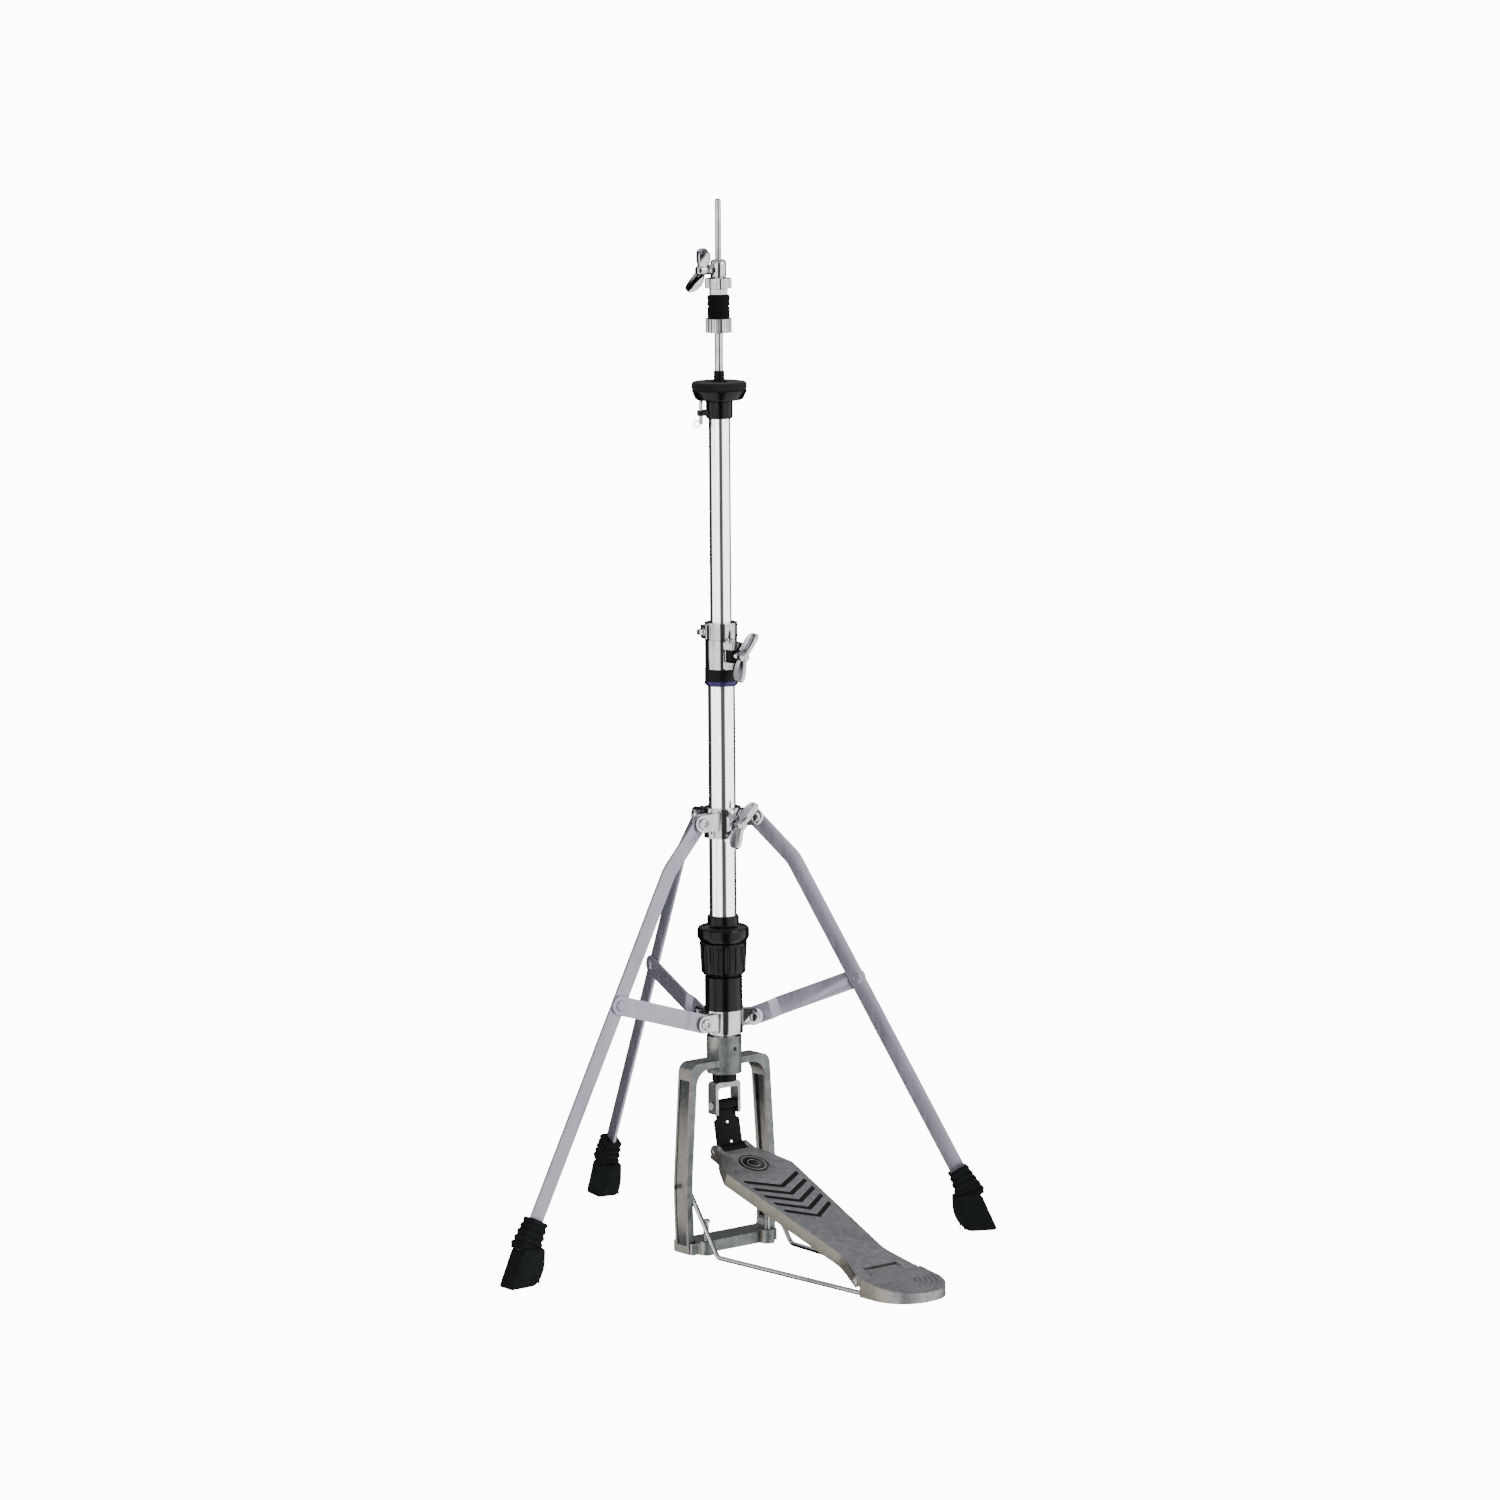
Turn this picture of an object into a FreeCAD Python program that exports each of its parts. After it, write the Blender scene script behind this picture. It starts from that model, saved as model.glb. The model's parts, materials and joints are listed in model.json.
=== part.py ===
"""Hi-hat stand: a floor stand whose footboard pulls a rod down through a tube.

Millimetres, +Z up. The origin is on the floor under the axis of the pull rod,
the footboard runs out along -Y and its pivots lie along X.
"""
import FreeCAD, Part
import math
import os

Vector = FreeCAD.Vector
UP = Vector(0, 0, 1)
ACROSS = Vector(1, 0, 0)
AHEAD = Vector(0, 1, 0)
ORIGIN = Vector(0, 0, 0)

# ---------------------------------------------------------------- driving dimensions

# Clearances.
fit = 0.08                 # radial running fit of a pin, a screw or a sliding tube
gap = 0.3                  # air between faces of pieces that move past each other

# Column.
lower_tube_d = 25.4
lower_tube_wall = 2.0
upper_tube_d = 20.0
upper_tube_wall = 1.5
lower_rod_d = 8.0
upper_rod_d = 6.0
lower_tube_top_z = 545.0
upper_tube_length = 363.0
rod_shoulder_z = 864.0     # top of the thick rod, where the clutch rests
rod_top_z = 981.0
rod_thread = 18.0          # length of thin rod screwed into the thick one
rod_mark_above_clutch = 1.2
rod_mark_width = 0.8       # height mark turned on the thin rod
rod_mark_depth = 0.3

# Pedal frame casting.
socket_d = 32.8
socket_top_z = 201.0
socket_bottom_z = 166.0
socket_shelf = 4.0
socket_screw_d = 4.0
socket_screw_z = 190.0
frame_top_z = 180.0
frame_foot_half = 52.0     # half width of the portal at the floor
frame_bow = 2.0            # how far the posts bow out above that
frame_bow_z = 62.0
frame_shoulder_half = 46.5
frame_corner_r = 10.0
frame_wall = 6.5
frame_depth = 20.0
frame_arch_r = 16.0
frame_panel_inset = 0.9
frame_panel_depth = 14.0
frame_groove = 2.6
frame_groove_depth = 11.0
base_height = 11.0
base_depth = 28.0
base_tray = 5.0            # depth of the tray in the base plate
lug_d = 14.0
lug_x = 37.0
lug_y = -17.0
lug_height = 13.0
spur_d = 6.0
spur_length = 29.0
spur_tip_z = 1.0
spur_head_d = 8.0
spur_head_height = 3.5

# Pull-rod guide and clevis.
guide_d = 23.0
guide_spigot_d = 17.0
guide_drop = 8.0
clevis_width = 30.0
clevis_depth = 12.0
clevis_bar = 5.5
clevis_leg = 3.3
clevis_height = 31.0
clevis_pin_z = 135.0
clevis_pin_d = 5.0
rod_in_clevis = 5.5

# Footboard, its link strap and the heel.
heel_hinge_y = -231.0
heel_hinge_z = 13.0
heel_pin_d = 5.0
toe_pin_y = -8.0
toe_pin_z = 93.0
toe_pin_d = 5.0
strap_width = 29.0
strap_tongue_width = 22.0
strap_tongue = 13.0        # length of the narrow end inside the clevis
strap_thickness = 3.6
strap_eye_d = 11.0
toe_eye_play = 0.9         # the toe end is a loose eye around its pin
board_rise = 5.0           # top face above the line from hinge to toe pin
board_skirt = 12.0
board_plate = 3.6
board_rim = 3.2
board_half_at_neck = 39.6
board_half_at_waist = 24.5
board_half_at_toe = 17.0
board_half_at_heel = 35.5
board_neck_s = 193.0       # distances up the board from the heel hinge
board_shoulder_s = 212.0
board_waist_s = 34.0
board_overhang = 5.0
toe_lug = 4.0
toe_lug_d = 13.0
knuckle_d = 10.0
slot_count = 5
slot_pitch = 13.9
slot_first_s = 156.0
slot_width = 3.4
slot_rake = 17.3
slot_half = 32.0
slot_half_step = 1.2
slot_depth = 1.8           # the slots are blind grooves in the plate
badge_s = 202.0
badge_ring_d = 30.0
badge_ring_width = 1.6
badge_depth = 0.8
heel_half = 37.0
heel_end_y = -293.0
heel_round = 34.0
heel_front_height = 18.5
heel_end_height = 9.0
heel_tab_half = 19.5
heel_tab = 7.0             # how far the tab reaches past the hinge axis
heel_tab_air = 4.0         # air ahead of the tab, for the tilt of the board
heel_rim = 3.5
heel_pad_depth = 2.2
heel_groove_pitch = 5.0
heel_groove_count = 5
wire_d = 4.6
wire_x = 44.4
wire_heel_x = 33.0
wire_hook_y = 2.0
wire_hook_z = 64.0
wire_hook_reach = 58.0
wire_bend_y = -43.0
wire_end_y = -256.0

# Spring housing and tension knob.
housing_neck_d = 29.7
housing_bulge_d = 48.7
housing_top_z = 315.0
housing_bulge_top_z = 305.0
knob_top_z = 290.7
knob_bottom_z = 257.6
knob_top_d = 44.5
knob_bottom_d = 41.4
knob_flutes = 18
knob_flute_d = 5.0
knob_flute_cut = 0.9
knob_chamfer = 4.0
knob_floor = 3.4
tension_nut_d = 34.0
tension_nut_height = 8.0
tension_z = 276.0
tension_pin_d = 4.0
tension_travel = 6.0
spring_seat_height = 14.0
sleeve_d = 35.2
sleeve_flare_d = 36.6
spring_wire_d = 2.0
spring_d = 14.0
spring_turns = 16
spring_collar_z = 390.0
spring_collar_d = 15.4
spring_collar_height = 6.0

# Tripod.
leg_azimuths = {"right": -27.5, "back": 78.0, "left": 179.0}
lower_hub_d = 36.0
lower_hub_bottom_z = 204.0
lower_hub_height = 22.0
upper_hub_d = 34.5
upper_hub_bottom_z = 389.0
upper_hub_height = 28.0
ear_thickness = 2.5
ear_height = 16.0
brace_pivot_r = 30.1
brace_pivot_z = 216.3
leg_pivot_r = 31.8
leg_pivot_z = 405.5
leg_plane = 8.0            # sideways place of the legs' middle plane beside the axis
leg_width = 15.0
leg_thickness = 3.0
knee_r = 69.0
knee_z = 364.5
leg_entry_r = 226.0        # where the leg enters its rubber foot
leg_entry_z = 59.0
leg_in_foot = 40.0
brace_on_leg_z = 247.0
brace_width = 18.0
brace_thickness = 2.5
joggle_start = 17.0
joggle_length = 9.0
bolt_d = 6.0
bolt_head_d = 10.5
bolt_head_height = 2.8
rivet_d = 6.0
rivet_head_d = 10.0
rivet_head_height = 2.0
foot_collar_width = 17.0
foot_boot_width = 19.5
foot_rib_count = 5
foot_rib_cut = 1.3

# Wing bolts: one pattern for the hub, the height clamp and the clutch.
wing_span = 49.0
wing_root = 15.0
wing_tip_r = 7.0
wing_thickness = 4.0
wing_sweep = 6.0
wing_boss_d = 10.0
wing_boss_length = 11.0
wing_bolt_d = 6.0
hub_wing_turn = -32.0
clamp_wing_turn = -24.0
clutch_wing_turn = -32.0
hub_boss_d = 14.0
hub_boss_r = 21.0

# Height clamp, memory lock.
trim_ring_d = 31.6
trim_ring_bottom_z = 531.0
trim_ring_height = 5.0
bushing_band_d = 30.6
clamp_d = 30.0
clamp_bottom_z = 547.0
clamp_height = 27.0
clamp_liner_d = 25.0
clamp_lug_width = 15.0
clamp_lug_reach = 25.0
clamp_lug_thickness = 6.0
clamp_bolt_z = 560.5
clamp_nut_side = 12.0
clamp_nut_length = 6.0
lock_d = 30.4
lock_bottom_z = 574.3
lock_height = 15.6
lock_azimuth = 171.0
lock_lug_reach = 19.0
lock_bolt_reach = 24.5
lock_bolt_d = 5.0

# Cymbal seat.
cap_d = 25.0
cap_top_z = 796.0
cap_height = 17.0
cap_roof = 3.0
seat_bush_d = 10.0
seat_bush_top_z = 823.0
seat_d = 51.0
seat_bottom_d = 44.5
seat_cup_height = 9.2
seat_felt_height = 7.5
seat_hole_d = 15.0
tilt_azimuth = 161.0
tilt_screw_r = 18.0
tilt_screw_d = 3.6
tilt_lug_d = 7.6
tilt_lug_bottom_z = 782.0
tilt_lug_height = 5.0
tilt_screw_bottom_z = 774.0
tilt_ring_d = 6.0
tilt_ring_wire = 1.2
rocker_r = 11.0            # rib under the cup that it rocks on, opposite the tilt screw
rocker_rib_r = 1.0
rocker_half = 4.5

# Clutch.
clutch_tube_d = 10.0
clutch_barrel_d = 15.0
clutch_barrel_bottom_z = 909.0
clutch_barrel_height = 16.0
clutch_azimuth = 171.0
clutch_boss_d = 9.5
clutch_boss_r = 11.5
clutch_wing_r = 24.6
clutch_nut_d = 24.5
clutch_nut_bottom_z = 858.0
clutch_nut_height = 13.0
clutch_nut_knurls = 24
felt_d = 21.0
felt_waist = 1.2
felt_height = 10.8
felt_bore_d = 10.8
jam_nut_d = 18.5
jam_nut_height = 5.4
lock_nut_d = 25.0
lock_nut_lobes = 6
lock_nut_height = 9.4

# ---------------------------------------------------------------- derived places

upper_tube_top_z = cap_top_z - cap_roof
tube_r = lower_tube_d / 2
tube_bore_r = tube_r - lower_tube_wall
upper_r = upper_tube_d / 2
rod_r = lower_rod_d / 2
thin_rod_r = upper_rod_d / 2
guide_bottom_z = socket_bottom_z - guide_drop
clevis_top_z = guide_bottom_z - 0.5
lower_hub_top_z = lower_hub_bottom_z + lower_hub_height
board_run = toe_pin_y - heel_hinge_y
board_lift = toe_pin_z - heel_hinge_z
board_length = math.hypot(board_run, board_lift)
board_angle = math.degrees(math.atan2(board_lift, board_run))
leg_slope = math.atan2(leg_entry_r - knee_r, knee_z - leg_entry_z)
brace_on_leg_r = knee_r + (knee_z - brace_on_leg_z) * math.tan(leg_slope)
brace_length = math.hypot(brace_on_leg_r - brace_pivot_r, brace_on_leg_z - brace_pivot_z)
brace_rise = math.atan2(brace_on_leg_z - brace_pivot_z, brace_on_leg_r - brace_pivot_r)
brace_plane = leg_plane + leg_thickness / 2 + gap + brace_thickness / 2
spring_bottom_z = tension_z + spring_seat_height / 2 + gap
clamp_boss_y = -clamp_lug_reach


# ---------------------------------------------------------------- shape helpers

def rod(radius, bottom, top, x=0.0, y=0.0):
    """An upright cylinder."""
    return Part.makeCylinder(radius, top - bottom, Vector(x, y, bottom), UP)


def ring(outer, inner, bottom, top, x=0.0, y=0.0):
    """An upright cylinder with a bore."""
    bore = rod(inner, bottom - 1, top + 1, x, y)
    return rod(outer, bottom, top, x, y).cut(bore)


def bar(radius, start, end):
    """A round bar between two points."""
    run = end - start
    return Part.makeCylinder(radius, run.Length, start, run)


def block(x0, x1, y0, y1, z0, z1):
    """A rectangular block between two corners."""
    return Part.makeBox(x1 - x0, y1 - y0, z1 - z0, Vector(x0, y0, z0))


def turned(profile):
    """A solid of revolution about Z, from a closed outline of (radius, z)."""
    points = [Vector(r, 0, z) for r, z in profile]
    face = Part.Face(Part.makePolygon(points + points[:1]))
    return face.revolve(ORIGIN, UP, 360)


def swung(shape, azimuth):
    """A copy turned about the column to an azimuth, from the +X direction."""
    turned_copy = shape.copy()
    turned_copy.rotate(ORIGIN, UP, azimuth)
    return turned_copy


def corner(before, at, after, radius):
    """The two tangent points and the middle of an arc that rounds one corner."""
    back = (before - at).normalize()
    on = (after - at).normalize()
    half = math.acos(max(-1.0, min(1.0, back.dot(on)))) / 2
    reach = radius / math.tan(half)
    inward = (back + on).normalize()
    centre = at + inward * (radius / math.sin(half))
    return at + back * reach, centre - inward * radius, at + on * reach


def outline(points):
    """A flat closed wire through (u, v, radius) corners in the XY plane."""
    places = [Vector(u, v, 0) for u, v, _ in points]
    edges = []
    ends = []
    for i, (_, _, radius) in enumerate(points):
        start = places[i]
        end = places[i]
        if radius > 0:
            after = places[(i + 1) % len(points)]
            start, middle, end = corner(places[i - 1], places[i], after, radius)
            edges.append(Part.Arc(start, middle, end).toShape())
        ends.append((start, end))
    for i, (start, _) in enumerate(ends):
        if (start - ends[i - 1][1]).Length > 1e-6:
            edges.append(Part.makeLine(ends[i - 1][1], start))
    return Part.Wire(Part.__sortEdges__(edges))


def sheet_xy(points, bottom, top):
    """A flat plate lying level, from an outline of (x, y, radius)."""
    face = Part.Face(outline(points))
    face.translate(UP * bottom)
    return face.extrude(UP * (top - bottom))


def sheet_xz(points, front, back):
    """A plate standing in the XZ plane, from an outline of (x, z, radius)."""
    face = Part.Face(outline(points))
    face.rotate(ORIGIN, ACROSS, 90)
    face.translate(AHEAD * front)
    return face.extrude(AHEAD * (back - front))


def sheet_yz(points, left, right):
    """A plate standing in the YZ plane, from an outline of (y, z, radius)."""
    face = Part.Face(outline(points))
    face.rotate(ORIGIN, Vector(1, 1, 1), 120)
    face.translate(ACROSS * left)
    return face.extrude(ACROSS * (right - left))


def strip(start, end, width, end_radius=0.0):
    """Outline of a straight bar in a plane, from start to end, with rounded ends."""
    run = math.hypot(end[0] - start[0], end[1] - start[1])
    along = ((end[0] - start[0]) / run, (end[1] - start[1]) / run)
    side = (-along[1] * width / 2, along[0] * width / 2)
    return [
        (start[0] + side[0], start[1] + side[1], end_radius),
        (start[0] - side[0], start[1] - side[1], end_radius),
        (end[0] - side[0], end[1] - side[1], end_radius),
        (end[0] + side[0], end[1] + side[1], end_radius),
    ]


def regular(count, radius, turn=0.0):
    """Corners of a regular polygon about the column."""
    step = 2 * math.pi / count
    start = math.radians(turn)
    return [(radius * math.cos(start + i * step), radius * math.sin(start + i * step), 0)
            for i in range(count)]


def joined(shapes):
    """Several touching solids made one."""
    first = shapes[0]
    return first.fuse(shapes[1:]).removeSplitter()


def around(shape, count):
    """Copies of a shape spaced evenly about the column, as one compound."""
    return Part.makeCompound([swung(shape, 360.0 * i / count) for i in range(count)])


# ---------------------------------------------------------------- pedal frame

def portal(inset, corner_radius):
    """Outline of the portal frame, moved in by an inset."""
    foot = frame_foot_half - inset
    bow = frame_foot_half + frame_bow - inset
    shoulder = frame_shoulder_half - inset
    top = frame_top_z - inset
    right = [(foot, 0, 0), (bow, frame_bow_z, 300.0), (shoulder, top, corner_radius)]
    left = [(-x, z, r) for x, z, r in reversed(right)]
    return right + left


def portal_band(outer_inset, inner_inset, depth, bottom, top):
    """The skin of the posts between two insets, between two heights."""
    half = depth / 2
    skin = sheet_xz(portal(outer_inset, frame_corner_r), -half, half)
    core = sheet_xz(portal(inner_inset, frame_corner_r), -half - 1, half + 1)
    reach = frame_foot_half + 10
    window = block(-reach, reach, -half - 2, half + 2, bottom, top)
    return skin.cut(core).common(window)


def pedal_frame():
    """Cast socket, arch, two posts and base plate with two lugs for the spurs."""
    half = frame_depth / 2
    posts = sheet_xz(portal(0, frame_corner_r), -half, half)
    inner = portal(frame_wall, frame_arch_r)
    inner[0] = (inner[0][0], base_height, 4.0)
    inner[-1] = (inner[-1][0], base_height, 4.0)
    posts = posts.cut(sheet_xz(inner, -half - 1, half + 1))
    panel_top = frame_top_z - frame_corner_r - 6
    panel = portal_band(-1, frame_panel_inset, frame_panel_depth, 8, panel_top)
    groove = portal_band(frame_wall - frame_groove, frame_wall + 2, frame_groove_depth,
                         base_height + 10, frame_top_z - frame_wall - frame_arch_r)
    base_half = frame_foot_half - 1
    base = block(-base_half, base_half, -base_depth / 2, base_depth / 2, 0, base_height)
    tray_half = base_half - frame_wall - 6
    tray = block(-tray_half, tray_half, -base_depth / 2 + 3.5, base_depth / 2 - 3.5,
                 base_height - base_tray, base_height + 1)
    lugs = [rod(lug_d / 2, 0, lug_height, side * lug_x, lug_y) for side in (-1, 1)]
    webs = [block(side * lug_x - lug_d / 2, side * lug_x + lug_d / 2, lug_y, 0,
                  0, base_height) for side in (-1, 1)]
    socket = rod(socket_d / 2, socket_bottom_z, socket_top_z)
    body = joined([posts.cut(panel).cut(groove), base.cut(tray), socket] + lugs + webs)
    body = body.cut(rod(tube_r, socket_bottom_z + socket_shelf, socket_top_z + 1))
    body = body.cut(rod(guide_spigot_d / 2, socket_bottom_z - 1, socket_top_z))
    for side in (-1, 1):
        body = body.cut(rod(spur_d / 2 + fit, -1, lug_height + 1, side * lug_x, lug_y))
    screw_hole = bar(socket_screw_d / 2, Vector(0, -tube_r + 1, socket_screw_z),
                     Vector(0, -socket_d, socket_screw_z))
    hook_hole = bar(wire_d / 2, Vector(-frame_foot_half - 9, wire_hook_y, wire_hook_z),
                    Vector(frame_foot_half + 9, wire_hook_y, wire_hook_z))
    return body.cut(screw_hole).cut(hook_hole)


def spur_screw(side):
    """Pointed screw in a base lug that bites into the carpet."""
    top = spur_tip_z + spur_length
    point = 5.0
    screw = turned([(0, spur_tip_z), (spur_d / 2, spur_tip_z + point), (spur_d / 2, top),
                    (spur_head_d / 2, top), (spur_head_d / 2, top + spur_head_height),
                    (0, top + spur_head_height)])
    slot = block(-spur_head_d, spur_head_d, -0.6, 0.6, top + spur_head_height - 1.2,
                 top + spur_head_height + 1)
    screw = screw.cut(slot)
    screw.translate(Vector(side * lug_x, lug_y, 0))
    return screw


def rod_guide_bush():
    """Nylon bush under the socket that the pull rod slides through."""
    shelf_top = socket_bottom_z + socket_shelf
    flange = rod(guide_d / 2, guide_bottom_z, socket_bottom_z)
    spigot = rod(guide_spigot_d / 2, socket_bottom_z, shelf_top)
    return joined([flange, spigot]).cut(rod(rod_r + fit, guide_bottom_z - 1, shelf_top + 1))


# ---------------------------------------------------------------- column

def lower_tube():
    """Fixed outer tube, slotted for the two tension pins."""
    bottom = socket_bottom_z + socket_shelf
    tube = ring(tube_r, tube_bore_r, bottom, lower_tube_top_z)
    half = tension_pin_d / 2 + gap
    slots = block(-tube_r - 1, tube_r + 1, -half, half,
                  tension_z - tension_travel - half, tension_z + half)
    return tube.cut(slots)


def upper_tube():
    """Inner tube that carries the cymbal seat and slides in the lower tube."""
    bottom = upper_tube_top_z - upper_tube_length
    return ring(upper_r, upper_r - upper_tube_wall, bottom, upper_tube_top_z)


def lower_pull_rod():
    """Thick rod from the clevis to the clutch, tapped at the top."""
    thick = rod(rod_r, clevis_top_z - rod_in_clevis, rod_shoulder_z)
    return thick.cut(rod(thin_rod_r, rod_shoulder_z - rod_thread, rod_shoulder_z + 1))


def upper_pull_rod():
    """Thin rod screwed into the thick one, with a height mark and a chamfered tip."""
    tip = 2.0
    mark = clutch_barrel_bottom_z + clutch_barrel_height + rod_mark_above_clutch
    mark_r = thin_rod_r - rod_mark_depth
    return turned([(0, rod_shoulder_z - rod_thread), (thin_rod_r, rod_shoulder_z - rod_thread),
                   (thin_rod_r, mark), (mark_r, mark), (mark_r, mark + rod_mark_width),
                   (thin_rod_r, mark + rod_mark_width),
                   (thin_rod_r, rod_top_z - tip), (thin_rod_r - 1.3, rod_top_z),
                   (0, rod_top_z)])


def spring_collar():
    """Collar on the pull rod that the return spring pushes up."""
    top = spring_collar_z + spring_collar_height
    return ring(spring_collar_d / 2, rod_r, spring_collar_z, top)


def pull_spring():
    """Return spring around the pull rod, from the spring seat to the collar."""
    bottom = spring_bottom_z + spring_wire_d / 2
    height = spring_collar_z - gap - spring_wire_d / 2 - bottom
    radius = (spring_d - spring_wire_d) / 2
    path = Part.makeHelix(height / spring_turns, height, radius)
    path.translate(UP * bottom)
    start = Vector(radius, 0, bottom)
    section = Part.Wire(Part.makeCircle(spring_wire_d / 2, start, AHEAD))
    return Part.Wire(path.Edges).makePipeShell([section], True, True)


# ---------------------------------------------------------------- spring housing

def spring_housing():
    """Fixed moulded head above the tension knob, with a neck around the tube."""
    bottom = knob_top_z + gap
    bulge = housing_bulge_d / 2
    neck = housing_neck_d / 2
    return turned([(tube_r, bottom), (bulge - 2.2, bottom), (bulge, bottom + 4),
                   (bulge, housing_bulge_top_z - 3.5), (bulge - 1.2, housing_bulge_top_z - 0.9),
                   (bulge - 3.6, housing_bulge_top_z), (neck + 2, housing_bulge_top_z + 0.6),
                   (neck, housing_bulge_top_z + 1.5), (neck, housing_top_z - 1),
                   (neck - 1, housing_top_z), (tube_r, housing_top_z)])


def tension_knob():
    """Fluted knob with a threaded chamber; turning it moves the tension nut."""
    bore = tube_r + gap
    chamber = tension_nut_d / 2 + fit
    top = knob_top_d / 2
    foot = knob_bottom_d / 2
    knob = turned([(bore, knob_bottom_z), (foot - knob_chamfer, knob_bottom_z),
                   (foot, knob_bottom_z + knob_chamfer), (top, knob_top_z - 1.5),
                   (top - 1.2, knob_top_z), (bore, knob_top_z),
                   (bore, knob_top_z - knob_floor), (chamber, knob_top_z - knob_floor),
                   (chamber, knob_bottom_z + knob_floor), (bore, knob_bottom_z + knob_floor)])
    flute = rod(knob_flute_d / 2, knob_bottom_z + knob_chamfer + 1, knob_top_z - 3,
                foot + knob_flute_d / 2 - knob_flute_cut + 0.6)
    return knob.cut(around(flute, knob_flutes))


def tension_nut():
    """Ring nut in the knob, drilled for the two pins."""
    half = tension_nut_height / 2
    nut = ring(tension_nut_d / 2, tube_r + gap, tension_z - half, tension_z + half)
    return nut.cut(tension_hole())


def tension_hole():
    """Cross hole for the two tension pins."""
    reach = tension_nut_d
    return bar(tension_pin_d / 2, Vector(-reach, 0, tension_z), Vector(reach, 0, tension_z))


def tension_pins():
    """Two pins that join the nut outside the tube to the spring seat inside it."""
    outer = tension_nut_d / 2 - 0.5
    inner = rod_r + gap + 1.0
    return Part.makeCompound([
        bar(tension_pin_d / 2, Vector(side * inner, 0, tension_z),
            Vector(side * outer, 0, tension_z)) for side in (-1, 1)])


def spring_seat():
    """Ring inside the tube that holds up the return spring."""
    half = spring_seat_height / 2
    seat = ring(tube_bore_r - gap, rod_r + gap, tension_z - half, tension_z + half)
    return seat.cut(tension_hole())


def housing_sleeve():
    """Moulded sleeve between the knob and the lower hub."""
    bottom = lower_hub_top_z
    top = knob_bottom_z - gap
    return turned([(tube_r, bottom), (sleeve_flare_d / 2, bottom),
                   (sleeve_flare_d / 2, bottom + 2), (sleeve_d / 2, bottom + 4.5),
                   (sleeve_d / 2, top), (tube_r, top)])


# ---------------------------------------------------------------- tripod

def ear(pivot_r, pivot_z, start):
    """One flat ear of a hub, reaching out to a pivot, in its leg's own plane."""
    reach = pivot_r + ear_height / 2
    low = pivot_z - ear_height / 2
    high = pivot_z + ear_height / 2
    points = [(6, low, 0), (reach, low, ear_height / 2 - 0.1),
              (reach, high, ear_height / 2 - 0.1), (6, high, 0)]
    return sheet_xz(points, start, start + ear_thickness)


def hub(diameter, bottom, height, bore, pivot_r, pivot_z, plane, thickness):
    """A pressed band with a pair of ears for each leg or brace."""
    low_side = plane - thickness / 2 - gap - ear_thickness
    high_side = plane + thickness / 2 + gap
    parts = [rod(diameter / 2, bottom, bottom + height)]
    for azimuth in leg_azimuths.values():
        for side in (low_side, high_side):
            parts.append(swung(ear(pivot_r, pivot_z, side), azimuth))
    body = joined(parts).cut(rod(bore, bottom - 1, bottom + height + 1))
    for azimuth in leg_azimuths.values():
        body = body.cut(swung(cross_bar(bolt_d / 2, pivot_r, pivot_z, 0, plane * 3), azimuth))
    return body


def cross_bar(radius, r, z, start, end):
    """A round bar across a leg's plane."""
    return bar(radius, Vector(r, start, z), Vector(r, end, z))


def hub_bolts(pivot_r, pivot_z, plane, thickness):
    """One cross bolt with its nut for each leg or brace."""
    low = plane - thickness / 2 - gap - ear_thickness
    high = plane + thickness / 2 + gap + ear_thickness
    bolts = []
    for azimuth in leg_azimuths.values():
        shank = cross_bar(bolt_d / 2, pivot_r, pivot_z, low - 2.6, high)
        head = cross_bar(bolt_head_d / 2, pivot_r, pivot_z, high, high + bolt_head_height)
        nut = cross_bar(bolt_head_d / 2 - 0.6, pivot_r, pivot_z, low - 2.4, low)
        bolts.append(swung(joined([head, shank, nut]), azimuth))
    return Part.makeCompound(bolts)


def lower_hub():
    """Fixed hub that the three braces hinge on."""
    return hub(lower_hub_d, lower_hub_bottom_z, lower_hub_height, tube_r,
               brace_pivot_r, brace_pivot_z, leg_plane, brace_thickness)


def upper_hub():
    """Sliding hub that the three legs hinge on, with a boss for its wing bolt."""
    body = hub(upper_hub_d, upper_hub_bottom_z, upper_hub_height, tube_r + fit,
               leg_pivot_r, leg_pivot_z, leg_plane, leg_thickness)
    middle = upper_hub_bottom_z + upper_hub_height / 2
    boss = bar(hub_boss_d / 2, Vector(0, -tube_r - 2, middle), Vector(0, -hub_boss_r, middle))
    body = joined([body, boss])
    hole = bar(wing_bolt_d / 2 + fit, Vector(0, -tube_r + 2, middle),
               Vector(0, -hub_boss_r - 5, middle))
    return body.cut(hole)


def leg(azimuth):
    """Bent flat bar from the upper hub down into its rubber foot."""
    low = leg_plane - leg_thickness / 2
    high = leg_plane + leg_thickness / 2
    end = leg_end()
    upper = sheet_xz(strip((leg_pivot_r, leg_pivot_z), (knee_r, knee_z), leg_width), low, high)
    lower = sheet_xz(strip((knee_r, knee_z), end, leg_width), low, high)
    top = cross_bar(leg_width / 2, leg_pivot_r, leg_pivot_z, low, high)
    knee = cross_bar(leg_width / 2, knee_r, knee_z, low, high)
    head = cross_bar(rivet_head_d / 2, brace_on_leg_r, brace_on_leg_z, low - 1.6, low)
    body = joined([upper, lower, top, knee, head])
    body = body.cut(cross_bar(bolt_d / 2 + fit, leg_pivot_r, leg_pivot_z, low - 1, high + 1))
    return swung(body, azimuth)


def leg_end():
    """Lower end of the bar, inside the foot."""
    return (leg_entry_r + leg_in_foot * math.sin(leg_slope),
            leg_entry_z - leg_in_foot * math.cos(leg_slope))


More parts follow.
